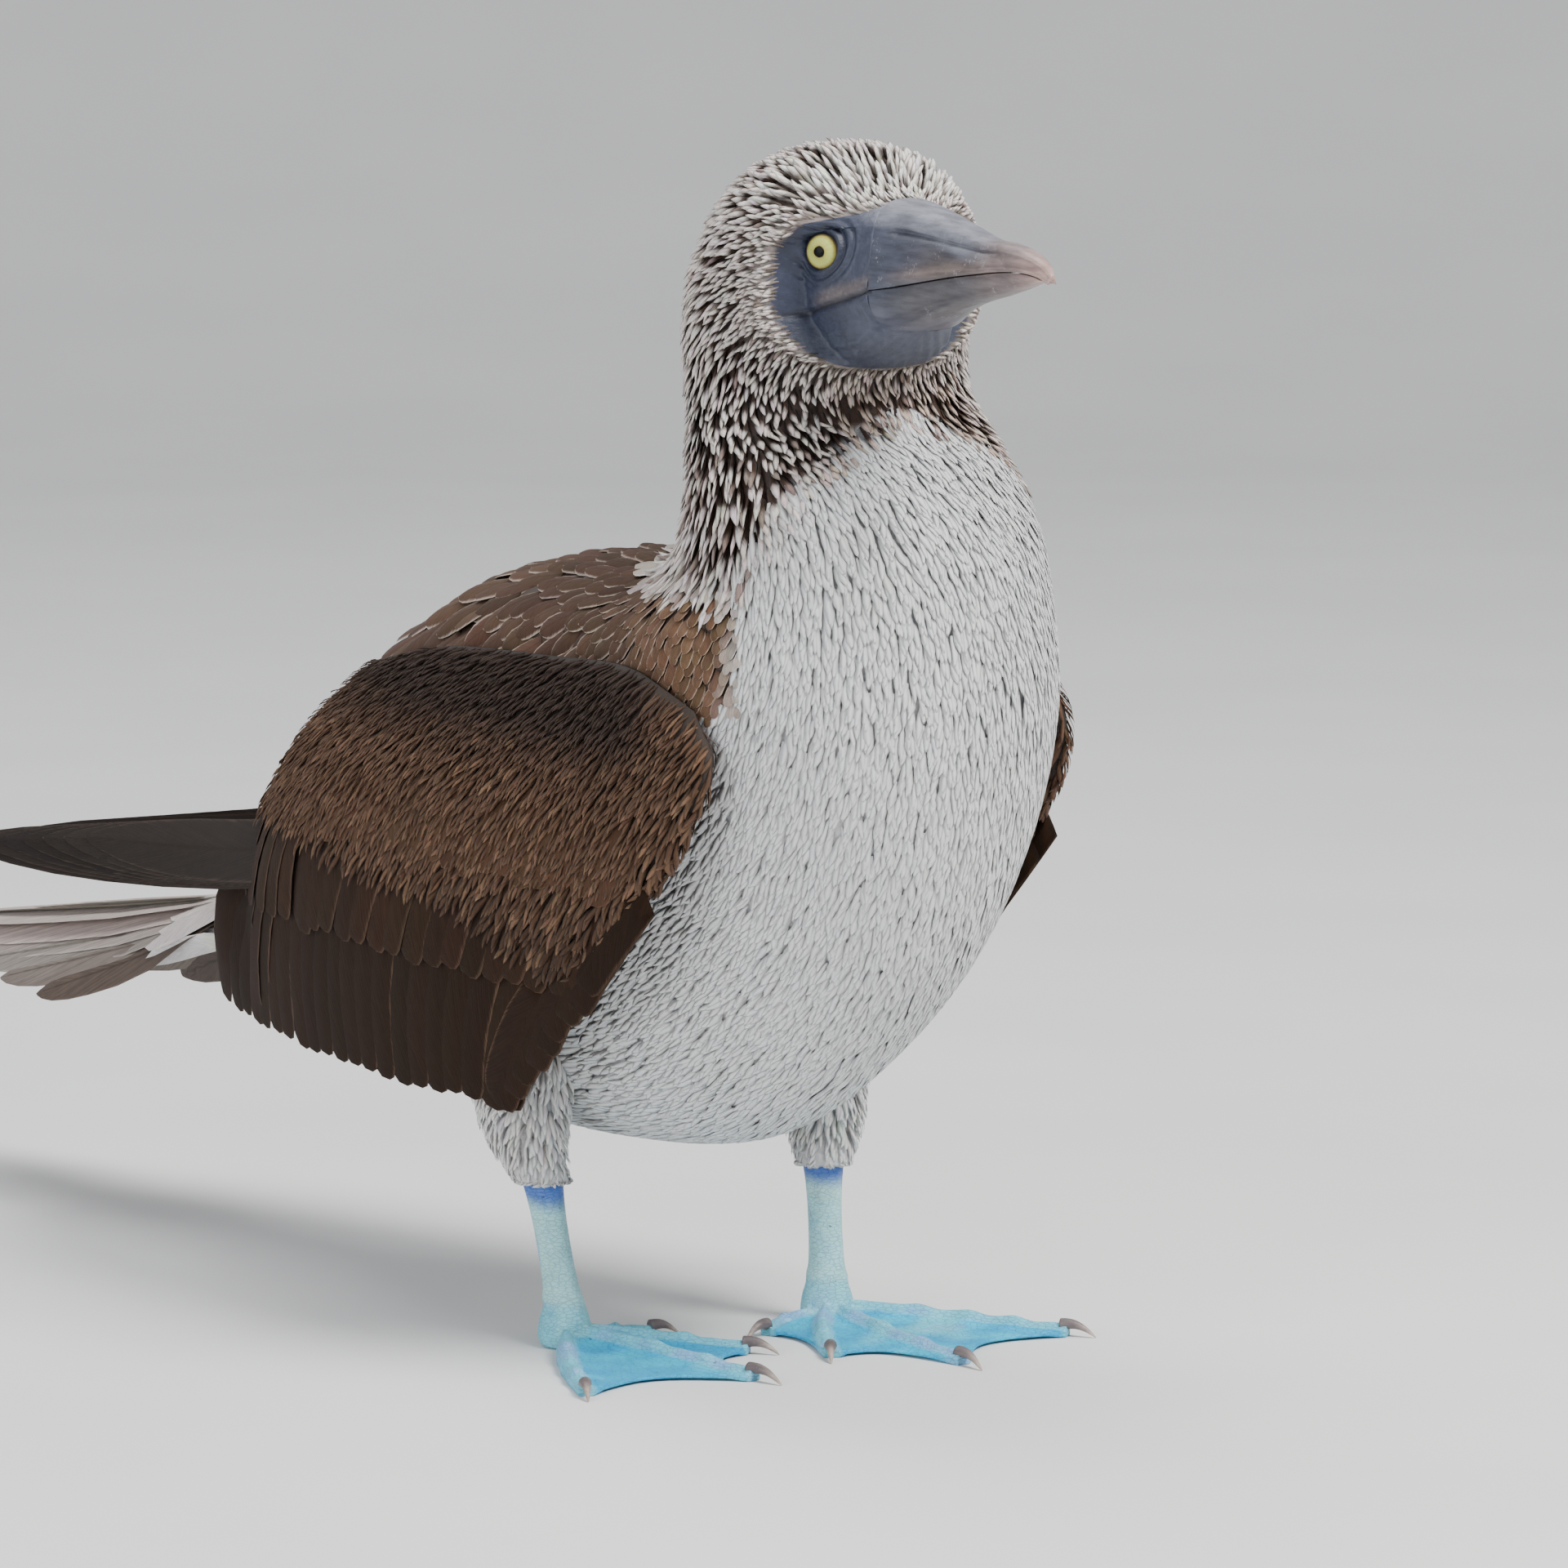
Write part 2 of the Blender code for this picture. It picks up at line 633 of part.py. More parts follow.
def make_wing(side, word):
    core = make_wing_core("wing_" + word, side)
    if not FEATHERED:
        return core
    group = bpy.data.collections.new("vanes_" + word)
    bpy.context.scene.collection.children.link(group)

    def keep(ob):
        bpy.context.scene.collection.objects.unlink(ob)
        group.objects.link(ob)

    for i in range(SECONDARIES):
        t = i / (SECONDARIES - 1)
        tip = (0.104 + 0.193 * t, 0.0740 + 0.004 * t ** 4)
        lean = math.radians(36 - 14 * math.sin(math.pi * min(t * 1.1, 1)) + 2 * t)
        length = 0.068 + 0.012 * t
        root = (tip[0] - math.sin(lean) * length, tip[1] + math.cos(lean) * length)
        keep(flank_vane(side, root, tip, 0.0025, 0.0118, 0.0030, 0.0022, LONG, 0.00042, False))
    for i in range(GREATER):
        t = i / (GREATER - 1)
        tip = (0.053 + 0.212 * t, 0.1180 + 0.003 * t)
        lean = math.radians(38 - 10 * t)
        length = 0.050
        root = (tip[0] - math.sin(lean) * length, tip[1] + math.cos(lean) * length)
        keep(flank_vane(side, root, tip, 0.0015, 0.0140, 0.0016, 0.0010, SHORT, 0.00040, False))
    for i in range(MEDIAN):
        t = i / (MEDIAN - 1)
        tip = (0.022 + 0.212 * t, 0.1495 + 0.003 * math.sin(math.pi * t))
        lean = math.radians(40 - 12 * t)
        length = 0.032
        root = (tip[0] - math.sin(lean) * length, tip[1] + math.cos(lean) * length)
        keep(flank_vane(side, root, tip, 0.001, 0.0168, 0.0010, -0.0003, SHORT, 0.00035, False))
    for i in range(PRIMARIES):
        t = i / (PRIMARIES - 1)
        keep(primary_vane(side, t))
    apply_bool(core, "UNION", group=group)
    wide, high = WING_CARRY[word]
    for v in core.data.vertices:
        part = float(smooth((0.085 - v.co.y) / 0.085)) * float(smooth((v.co.z - 0.09) / 0.07))
        v.co.x += side * wide * part
        v.co.z += high * part
    return core


def primary_path(y):
    ys = [0.12, 0.16, 0.20, 0.25, 0.30, 0.36, 0.42, 0.48]
    xs = [0.0690, 0.0655, 0.0570, 0.0435, 0.0320, 0.0215, 0.0155, 0.0125]
    return float(np.interp(y, ys, xs))


def primary_vane(side, t):
    end = 0.462 - 0.088 * t
    tip_z = 0.1115 + 0.012 * t
    start = np.array([0.135 + 0.004 * t, 0.1500 + 0.0035 * t])
    tip = np.array([end, tip_z])
    shape = ((0.0, 0.60), (0.35, 1.0), (0.66, 0.92), (0.87, 0.60), (1.0, 0.14))
    centres, across, out, halves, thick = [], [], [], [], []
    for u, w in shape:
        c = start + (tip - start) * u
        z = c[1] - 0.004 * math.sin(math.pi * u)
        x = primary_path(c[0]) + 0.0011 * t - 0.0002
        centres.append(np.array([side * x, c[0], z]))
        lay = 0.45 * smooth((c[0] - 0.16) / 0.10)
        across.append(np.array([-side * lay, 0.15, 0.99]) / math.hypot(1.0, lay))
        out.append(np.array([side * 1.0, 0, 0]))
        halves.append(0.0105 * w)
        thick.append(0.0012 if u < 0.9 else 0.0005)
    return blade("vane", centres, across, out, halves, thick, 0.00045, False)


# Tail

def tail_z(x, y):
    mid = float(np.interp(y, [0.27, 0.30, 0.34, 0.38, 0.454, 0.50], [0.1200, 0.1130, 0.1050, 0.0985, 0.0880, 0.0820]))
    ramp = min(1.0, max(0.0, (y - 0.28) / 0.06))
    return mid - 0.031 * ramp * (abs(x) / 0.036) ** 1.4


def make_tail():
    base = ring(TORSO[0], 16)
    n = plane_normal(base)
    n = n if n[1] > 0 else -n
    rings = [base + n * GAP]
    for y, w, h in ((0.300, 0.0150, 0.0070), (0.318, 0.0165, 0.0042), (0.338, 0.0165, 0.0022), (0.352, 0.0150, 0.0012)):
        a = np.arange(16) * 2 * np.pi / 16
        pts = []
        for t in a + 0.07:
            x = w * math.cos(t)
            zc = tail_z(x, y) - h * 0.5 - 0.0006
            pts.append((x, y, zc + h * 0.5 * math.sin(t)))
        rings.append(np.array(pts))
    core = loft("tail", rings, "plumage_tail")
    if not FEATHERED:
        return core
    group = bpy.data.collections.new("rectrices")
    bpy.context.scene.collection.children.link(group)
    shape = ((0.0, 0.50), (0.40, 1.0), (0.74, 0.94), (0.91, 0.58), (1.0, 0.12))
    for k in range(TAIL_PAIRS):
        for side in (-1, 1):
            end = TAIL_END - TAIL_STEPS[k]
            root = np.array([side * (0.0016 + 0.0022 * k), 0.303 + 0.0006 * k + (0.0003 if side > 0 else 0)])
            tip = np.array([side * (0.0040 + 0.0062 * k) * (1 - 0.03 * k), end])
            centres, across, out, halves, thick = [], [], [], [], []
            for u, w in shape:
                c = root + (tip - root) * u
                drop = 0.0002 + 0.00059 * k + (0.00027 if side > 0 else 0)
                z = tail_z(c[0], c[1]) - drop
                half = (0.0112 - 0.0004 * k) * w
                e = 0.002
                slope = (tail_z(c[0] + side * e, c[1]) - tail_z(c[0], c[1])) / e
                a = np.array([side * 1.0, 0, slope])
                a /= np.linalg.norm(a)
                centres.append(np.array([c[0], c[1], z]))
                across.append(a)
                out.append(np.array([0, 0, 1.0]))
                halves.append(half)
                thick.append(0.0012 if u < 0.95 else 0.0006)
            ob = blade("vane", centres, across, out, halves, thick, 0.0005, False)
            bpy.context.scene.collection.objects.unlink(ob)
            group.objects.link(ob)
    apply_bool(core, "UNION", group=group)
    return core


# Legs and feet

def disc(cx, cy, z, rx, ry, n):
    a = np.arange(n) * 2 * np.pi / n
    return np.stack([cx + rx * np.cos(a), cy + ry * np.sin(a), np.full(n, z)], 1)


def make_leg(word, torso):
    x, top_y, ankle_y = LEGS[word]
    side = -1 if x < 0 else 1
    rows = [(0.100, 0.0165, 0.0240, 0.000, 0.010), (0.086, 0.0158, 0.0225, 0.0010, 0.008),
            (0.074, 0.0138, 0.0180, 0.0025, 0.006), (0.064, 0.0118, 0.0148, 0.0032, 0.0040),
            (0.056, 0.0100, 0.0120, 0.0020, 0.0020), (CUFF_Z, 0.0072, 0.0084, 0.0, 0.0)]
    rings = [disc(x + side * dx, top_y + dy, z, rx, ry, 20) for z, rx, ry, dx, dy in rows]
    thigh = loft("thigh_" + word, rings, "plumage_white")
    apply_bool(thigh, "DIFFERENCE", grown(torso, GAP, "grown"))
    rows = [(CUFF_Z - GAP, 0.0062, 0.0072), (0.044, 0.0055, 0.0066), (0.036, 0.0050, 0.0060),
            (0.026, 0.0050, 0.0060), (0.019, 0.0053, 0.0064), (0.0150, 0.0060, 0.0072),
            (ANKLE_Z + GAP, 0.0064, 0.0076)]
    rings = []
    for z, rx, ry in rows:
        t = (CUFF_Z - z) / (CUFF_Z - ANKLE_Z)
        rings.append(disc(x, top_y + (ankle_y - top_y) * t, z, rx, ry, 14))
    loft("leg_" + word, rings, "skin_blue")
    make_foot(word, side, x, ankle_y)


def make_foot(word, side, x0, y0):
    order = ["outer", "middle", "inner", "hallux"]
    steps = np.array([0.05, 0.16, 0.30, 0.46, 0.62, 0.78, 0.91, 1.0])
    joints = {"outer": (0.34, 0.56, 0.76), "middle": (0.42, 0.72), "inner": (0.62,), "hallux": (0.55,)}

    def toe(k, u):
        deg, length = TOES[k]
        a = math.radians(deg)
        r = 0.004 + (length - 0.004) * u
        bow = 0.0020 * math.sin(math.pi * u) * (1 if deg > 0 else -1)
        d = np.array([side * math.sin(a), -math.cos(a)])
        p = np.array([side * math.cos(a), math.sin(a)])
        return np.array([x0, y0]) + d * r + p * bow, d, p, r

    top, low = [], []
    for u in steps:
        row_t, row_l = [], []
        toes = []
        for k in order:
            c, d, p, r = toe(k, u)
            hw = min(0.0031 - 0.0006 * u, 0.15 * r + 0.0004)
            h = 0.0078 - 0.0036 * min(1, u * 1.2)
            if k == "hallux":
                h = 0.0060 - 0.0022 * u
            for jt in joints[k]:
                h += 0.0007 * math.exp(-((u - jt) / 0.06) ** 2)
            toes.append((c, p, hw, h))
        for i, (c, p, hw, h) in enumerate(toes):
            for s, hh in ((1, 0.62), (0, 1.0), (-1, 0.62)):
                pt = c + p * s * hw
                row_t.append((pt[0], pt[1], h * hh))
                row_l.append((pt[0], pt[1], 0.0))
            if i < 3:
                c2, p2, hw2, h2 = toes[i + 1]
                a = c - p * hw
                b = c2 + p2 * hw2
                for v in (0.33, 0.67):
                    pt = a + (b - a) * v
                    base = np.array([x0, y0])
                    dip = 1 - 0.16 * u ** 3 * 4 * v * (1 - v)
                    pt = base + (pt - base) * dip
                    sag = 0.0020 + 0.0022 * (1 - u) ** 2
                    row_t.append((pt[0], pt[1], sag))
                    row_l.append((pt[0], pt[1], 0.0008))
        top.append(row_t)
        low.append(row_l)
    top, low = np.array(top), np.array(low)
    nr, nc = top.shape[:2]
    verts = list(top.reshape(-1, 3)) + list(low.reshape(-1, 3))
    off = nr * nc
    faces = []
    for i in range(nr - 1):
        for j in range(nc - 1):
            a, b, c, d = i * nc + j, (i + 1) * nc + j, (i + 1) * nc + j + 1, i * nc + j + 1
            faces += [(a, b, c), (a, c, d), (a + off, c + off, b + off), (a + off, d + off, c + off)]
    edge = ([i * nc for i in range(nr)] + [(nr - 1) * nc + j for j in range(1, nc)]
            + [i * nc + nc - 1 for i in range(nr - 2, -1, -1)] + [j for j in range(nc - 2, 0, -1)])
    for k, a in enumerate(edge):
        b = edge[(k + 1) % len(edge)]
        faces += [(a, b, b + off), (a, b + off, a + off)]
    foot = solid("foot_" + word, verts, faces, "skin_blue")
    hub = loft("hub", [disc(x0, y0, z, r, r * 1.08, 16) for z, r in
                       ((0.0, 0.0070), (0.0035, 0.0082), (0.0075, 0.0078), (ANKLE_Z, 0.0068))])
    apply_bool(foot, "UNION", hub)
    for i, k in enumerate(order):
        c, d, p, r = toe(k, 1.0)
        length = CLAWS[k]
        rings = []
        for u, w, h, z in ((0.0, 0.0017, 0.0016, 0.0024), (0.3, 0.0015, 0.0015, 0.0025),
                           (0.6, 0.0011, 0.0012, 0.0022), (0.85, 0.0006, 0.0007, 0.0014),
                           (1.0, 0.0003, 0.0003, 0.0008)):
            m = c + d * (GAP + length * u)
            a = np.arange(6) * 2 * np.pi / 6
            rings.append(np.stack([m[0] + p[0] * w * np.cos(a), m[1] + p[1] * w * np.cos(a),
                                   z + h * np.sin(a)], 1))
        loft("claw_%s_%s" % (k, word), rings, "claw_horn")


def main():
    clear()
    torso = make_trunk()
    tree = tree_of(torso)
    survey_flank(tree)
    make_head()
    make_bill()
    for side, word in ((-1, "right"), (1, "left")):
        make_wing(side, word)
    make_tail()
    for word in ("right", "left"):
        make_leg(word, torso)
    bpy.context.view_layer.update()
    obs = [o for o in bpy.data.objects if o.type == "MESH"]
    pts = np.array([o.matrix_world @ v.co for o in obs for v in o.data.vertices])
    mid = (pts.min(0) + pts.max(0)) / 2
    for o in obs:
        for v in o.data.vertices:
            v.co.x -= mid[0]
            v.co.y -= mid[1]
        o.data.update()


main()
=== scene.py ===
import math

import bpy
import bmesh
import numpy as np
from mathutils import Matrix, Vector
from mathutils.bvhtree import BVHTree
from mathutils.kdtree import KDTree


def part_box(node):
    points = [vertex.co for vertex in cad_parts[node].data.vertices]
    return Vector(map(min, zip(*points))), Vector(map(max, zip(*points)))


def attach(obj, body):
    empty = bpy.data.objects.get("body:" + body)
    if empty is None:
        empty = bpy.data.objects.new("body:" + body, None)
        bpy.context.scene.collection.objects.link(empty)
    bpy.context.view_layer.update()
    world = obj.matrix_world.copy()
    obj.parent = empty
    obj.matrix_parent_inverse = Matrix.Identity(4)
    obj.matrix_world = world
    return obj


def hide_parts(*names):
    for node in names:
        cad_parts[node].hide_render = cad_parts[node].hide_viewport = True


# Blue footed booby, life size. Metres, +Z up, the bird faces -Y, its left is +X.
# Everything is drawn with the neck over x = 0, y = 0, as the solids are, and shifted at the end.

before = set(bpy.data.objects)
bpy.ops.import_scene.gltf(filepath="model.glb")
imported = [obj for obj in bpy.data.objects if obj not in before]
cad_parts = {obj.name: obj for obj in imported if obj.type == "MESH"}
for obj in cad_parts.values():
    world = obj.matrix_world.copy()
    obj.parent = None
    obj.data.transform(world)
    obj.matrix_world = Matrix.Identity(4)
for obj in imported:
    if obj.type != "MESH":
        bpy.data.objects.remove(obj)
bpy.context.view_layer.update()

# Body outline: dorsal y, z, ventral y, z, half width, share of the width line, roundness, turn.
TRUNK = [
    (0.29, 0.128, 0.284, 0.102, 0.014, 0.5, 2.1, 0),
    (0.27, 0.156, 0.25, 0.09, 0.028, 0.5, 2.1, 0),
    (0.24, 0.183, 0.198, 0.074, 0.042, 0.5, 2.15, 0),
    (0.204, 0.208, 0.146, 0.0615, 0.053, 0.52, 2.2, 0),
    (0.166, 0.2275, 0.094, 0.0595, 0.06, 0.54, 2.15, 0),
    (0.128, 0.2385, 0.044, 0.066, 0.0625, 0.56, 2.05, 0),
    (0.097, 0.243, 0.004, 0.088, 0.0625, 0.57, 1.95, 0),
    (0.076, 0.2445, -0.03, 0.12, 0.062, 0.55, 1.95, 0),
    (0.062, 0.248, -0.0505, 0.158, 0.061, 0.52, 2, 0),
    (0.054, 0.255, -0.06, 0.196, 0.0585, 0.5, 2.05, 0),
    (0.05, 0.266, -0.06, 0.228, 0.0545, 0.5, 2.1, -1),
    (0.05, 0.279, -0.056, 0.254, 0.0515, 0.5, 2.1, -4),
    (0.052, 0.292, -0.043, 0.274, 0.047, 0.5, 2.1, -8),
    (0.0545, 0.308, -0.023, 0.29, 0.0435, 0.5, 2.1, -12),
    (0.054, 0.323, -0.0175, 0.298, 0.0435, 0.5, 2.1, -13),
    (0.051, 0.339, -0.018, 0.3035, 0.0435, 0.5, 2.1, -13),
    (0.0435, 0.354, -0.0215, 0.306, 0.0425, 0.5, 2.1, -13),
    (0.029, 0.366, -0.027, 0.3082, 0.0408, 0.52, 2.2, -13),
    (0.012, 0.3718, -0.0315, 0.3105, 0.037, 0.54, 2.3, -13),
    (-0.007, 0.3715, -0.036, 0.3135, 0.0315, 0.56, 2.4, -13),
    (-0.024, 0.366, -0.0415, 0.3165, 0.024, 0.6, 2.5, -13),
    (-0.037, 0.3585, -0.047, 0.32, 0.0176, 0.62, 2.5, -13),
]
FIRST_NECK, FIRST_HEAD = 10, 13
HEAD_TURN = -13.0
TURN_Y = 0.010
FACE_EDGE = [
    (0.0520, 0.3600), (0.0450, 0.3568), (0.0400, 0.3545), (0.0290, 0.3505), (0.0235, 0.3440),
    (0.0220, 0.3360), (0.0215, 0.3240), (0.0260, 0.3135), (0.0300, 0.3083), (0.0340, 0.3055),
]
FACE_WIDE = [(0.010, 0.0265), (0.022, 0.0243), (0.032, 0.0222), (0.040, 0.0203), (0.048, 0.0176),
             (0.060, 0.0150)]
EYE_AT = (0.0325, 0.0218, 0.3424)
EYE_RADIUS = 0.0082
EYE_SINK = 0.0063
EYE_OUT = math.radians(62.0)
EYE_UP = math.radians(4.0)
BILL = [
    (0.047, 0.3585, 0.3325, 0.32, 0.017),
    (0.056, 0.3581, 0.3338, 0.3222, 0.015),
    (0.068, 0.3566, 0.3356, 0.3256, 0.0126),
    (0.08, 0.3546, 0.3374, 0.3286, 0.0106),
    (0.092, 0.3525, 0.3392, 0.3311, 0.0089),
    (0.104, 0.3506, 0.3408, 0.3334, 0.0074),
    (0.113, 0.3504, 0.342, 0.3354, 0.0064),
    (0.122, 0.3496, 0.3428, 0.3376, 0.0053),
    (0.129, 0.3481, 0.3428, 0.3396, 0.0041),
    (0.1345, 0.3462, 0.342, 0.341, 0.0028),
    (0.1385, 0.3432, 0.3402, 0.3412, 0.0014),
]
BILL_LEAN = 0.255
MOUTH_BACK = [(0.0140, 0.3212), (0.0225, 0.3226), (0.0320, 0.3256), (0.0420, 0.3289), (0.0530, 0.3322)]
WING_FRONT = [(0.000, 0.2070), (-0.0110, 0.1910), (-0.0060, 0.1720), (0.0110, 0.1510),
              (0.0420, 0.1260), (0.0720, 0.1070)]
WING_TOP = [(0.000, 0.2070), (0.030, 0.2165), (0.080, 0.2150), (0.140, 0.2115), (0.195, 0.2010)]
WING_REAR = [(0.195, 0.2010), (0.228, 0.1790), (0.253, 0.1510), (0.265, 0.1300), (0.273, 0.1120)]
WING_FOOT = [(0.0720, 0.1070), (0.115, 0.1005), (0.190, 0.1005), (0.273, 0.1120)]
WING_CARRY = {"right": (0.0, 0.0), "left": (0.0050, 0.0090)}
WING_WIDE = 0.0785
LEGS = {"right": (-0.0425, 0.1005, 0.0895), "left": (0.0445, 0.0710, 0.0690)}
CUFF_Z = 0.0500
ANKLE_Z = 0.0120
TOES = {"outer": (33.0, 0.078), "middle": (-8.0, 0.080), "inner": (-38.0, 0.058), "hallux": (-78.0, 0.030)}
CLAWS = {"outer": 0.0085, "middle": 0.0105, "inner": 0.0085, "hallux": 0.0075}

# How deep the skin lies under the tips of the small feathers.
COAT = 0.0030


def smooth(x):
    x = np.clip(x, 0.0, 1.0)
    return x * x * (3 - 2 * x)


def mix(a, b, t):
    return a + (b - a) * t


def circle(n):
    return np.arange(n) * 2 * np.pi / n


def read_rows(x, rows, column=1):
    """Value at x in a list of rows whose first numbers rise."""
    return np.interp(x, [r[0] for r in rows], [r[column] for r in rows])


def unit(v):
    return v / (np.linalg.norm(v, axis=-1, keepdims=True) + 1e-12)


def spline(rows, at):
    """Smooth curve through the rows, read at the row numbers given."""
    rows = np.array(rows, float)
    m = len(rows)
    at = np.asarray(at, float)
    i = np.minimum(at.astype(int), m - 2)
    f = (at - i)[:, None]
    ext = np.vstack([2 * rows[0] - rows[1], rows, 2 * rows[-1] - rows[-2]])
    p0, p1, p2, p3 = ext[i], ext[i + 1], ext[i + 2], ext[i + 3]
    return 0.5 * (2 * p1 + (p2 - p0) * f + (2 * p0 - 5 * p1 + 4 * p2 - p3) * f * f
                  + (3 * p1 - p0 - 3 * p2 + p3) * f ** 3)


def curve(rows, n):
    return spline(rows, np.linspace(0, len(rows) - 1, n))


def turned(points, degrees):
    a = math.radians(degrees)
    c, s = math.cos(a), math.sin(a)
    out = np.array(points, float)
    x, y = out[..., 0].copy(), out[..., 1] - TURN_Y
    out[..., 0] = c * x - s * y
    out[..., 1] = s * x + c * y + TURN_Y
    return out


def ring(row, n):
    dy, dz, vy, vz, w, m, e, deg = row
    a = circle(n)
    top, low = np.array([0, dy, dz]), np.array([0, vy, vz])
    mid = low + m * (top - low)
    s, c = np.sin(a), np.cos(a)
    up = np.sign(s) * np.abs(s) ** (2 / e)
    side = np.sign(c) * np.abs(c) ** (2 / e)
    pts = mid + np.outer(w * side, [1, 0, 0])
    pts = pts + np.where(up[:, None] > 0, np.outer(up, top - mid), np.outer(-up, low - mid))
    return turned(pts, deg)


HEAD_F = turned(np.array([[0.0, TURN_Y - 1.0, 0.0]]), HEAD_TURN)[0] - np.array([0, TURN_Y, 0])
HEAD_S = turned(np.array([[1.0, TURN_Y, 0.0]]), HEAD_TURN)[0] - np.array([0, TURN_Y, 0])
HEAD_O = np.array([0.0, TURN_Y, 0.0])


def head_point(f, s, z):
    f, s, z = np.broadcast_arrays(np.asarray(f, float), np.asarray(s, float), np.asarray(z, float))
    return HEAD_O + f[..., None] * HEAD_F + s[..., None] * HEAD_S + z[..., None] * np.array([0, 0, 1.0])


def head_frame(p):
    d = p - HEAD_O
    return d @ HEAD_F, d @ HEAD_S, p[..., 2]


def face_edge(z):
    rows = sorted((high, f) for f, high in FACE_EDGE)
    return read_rows(z, rows)


def noise3(p, scale, seed=0):
    """Smooth random field, about -1 to 1, from a few turned waves."""
    rng = np.random.default_rng(seed + 1000)
    out = np.zeros(p.shape[:-1])
    for k in range(7):
        d = rng.normal(size=3)
        d *= scale * (0.7 + 0.25 * k) / np.linalg.norm(d)
        out += np.sin(p @ d + rng.uniform(0, 6.28)) / (1 + 0.25 * k)
    return out / 3.2


TORSO_LO, TORSO_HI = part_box("torso")
SHIFT = np.array([-(TORSO_LO.x + TORSO_HI.x) / 2, TRUNK[0][0] - TORSO_HI.y, 0.0])


class Skin:
    """A closed tube of rings that feathers are laid on: u runs round it, v along it."""

    def __init__(self, grid):
        self.g = grid
        self.nv, self.nu = grid.shape[:2]
        self.gu = (np.roll(grid, -1, 1) - np.roll(grid, 1, 1)) * self.nu / 2
        self.gv = np.gradient(grid, axis=0) * (self.nv - 1)
        n = np.cross(self.gu, self.gv)
        self.n = unit(n)
        if (self.n * (grid - grid.mean(1, keepdims=True))).sum() < 0:
            self.n = -self.n

    def read(self, field, u, v):
        x = (u % 1.0) * self.nu
        y = np.clip(v, 0, 1) * (self.nv - 1)
        i = np.minimum(y.astype(int), self.nv - 2)
        j = x.astype(int) % self.nu
        fx, fy = (x - np.floor(x))[..., None], (y - i)[..., None]
        k = (j + 1) % self.nu
        return ((field[i, j] * (1 - fx) + field[i, k] * fx) * (1 - fy)
                + (field[i + 1, j] * (1 - fx) + field[i + 1, k] * fx) * fy)

    def at(self, u, v):
        return self.read(self.g, u, v), unit(self.read(self.n, u, v))

    def slopes(self, u, v):
        return self.read(self.gu, u, v), self.read(self.gv, u, v)

    def scatter(self, count, rng):
        """Points spread evenly over the area."""
        area = np.linalg.norm(np.cross(self.gu, self.gv), axis=-1)
        cell = (area[:-1] + area[1:]) / 2
        w = cell.ravel() / cell.sum()
        pick = rng.choice(len(w), size=count, p=w)
        i, j = np.divmod(pick, self.nu)
        u = (j + rng.uniform(size=count)) / self.nu
        v = (i + rng.uniform(size=count)) / (self.nv - 1)
        return u, v


def thin_out(points, radius):
    """Keep points no nearer to one another than their radius, in the order given."""
    tree = KDTree(len(points))
    for i, p in enumerate(points):
        tree.insert(p, i)
    tree.balance()
    free = np.ones(len(points), bool)
    keep = []
    for i, p in enumerate(points):
        if free[i]:
            keep.append(i)
            for _, k, _ in tree.find_range(p, radius[i]):
                free[k] = False
    return np.array(keep)


# Objects

def placed(name, data):
    ob = bpy.data.objects.new(name, data)
    bpy.context.scene.collection.objects.link(ob)
    return ob


def mesh_object(name, verts, tris, mat):
    me = bpy.data.meshes.new(name)
    verts = np.asarray(verts, np.float32) - SHIFT.astype(np.float32)
    tris = np.asarray(tris, np.int32)
    me.vertices.add(len(verts))
    me.vertices.foreach_set("co", verts.ravel())
    me.loops.add(tris.size)
    me.loops.foreach_set("vertex_index", tris.ravel())
    me.polygons.add(len(tris))
    me.polygons.foreach_set("loop_start", np.arange(0, tris.size, 3, dtype=np.int32))
    me.update(calc_edges=True)
    me.shade_smooth()
    me.materials.append(mat)
    return placed(name, me)


def dress(ob, slot, *nodes):
    """The piece rides with the body and stands for these nodes of the solids."""
    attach(ob, "root")
    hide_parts(*nodes)


def paint(ob, name, values):
    """A colour for each vertex, red green blue and one more number."""
    values = np.asarray(values, np.float32)
    if values.shape[1] == 3:
        values = np.hstack([values, np.ones((len(values), 1), np.float32)])
    layer = ob.data.color_attributes.new(name, "FLOAT_COLOR", "POINT")
    layer.data.foreach_set("color", values.ravel())


def add_uv(ob, name, per_vertex):
    layer = ob.data.uv_layers.new(name=name)
    idx = np.empty(len(ob.data.loops), np.int32)
    ob.data.loops.foreach_get("vertex_index", idx)
    layer.data.foreach_set("uv", np.asarray(per_vertex, np.float32)[idx].ravel())


def sharpen(ob, kind):
    """Hard edges where both ends are on the same rim of a vane."""
    e = np.empty(len(ob.data.edges) * 2, np.int32)
    ob.data.edges.foreach_get("vertices", e)
    a, b = kind[e[0::2]], kind[e[1::2]]
    hard = (a & b) > 0
    layer = ob.data.attributes.new("sharp_edge", "BOOLEAN", "EDGE")
    layer.data.foreach_set("value", hard)


def grid_faces(nr, nc, closed, flip=False, offset=0):
    a = np.arange(nr - 1)[:, None] * nc + np.arange(nc if closed else nc - 1)[None, :]
    b = a - a % nc + (a + 1) % nc
    d = a + nc
    e = b + nc
    t = np.stack([a, e, b, a, d, e] if flip else [a, b, e, a, e, d], -1)
    return t.reshape(-1, 3) + offset


def cap_faces(start, n, flip=False):
    k = np.arange(1, n - 1)
    t = np.stack([np.full(n - 2, start), start + k, start + k + 1], -1)
    return t[:, ::-1] if flip else t


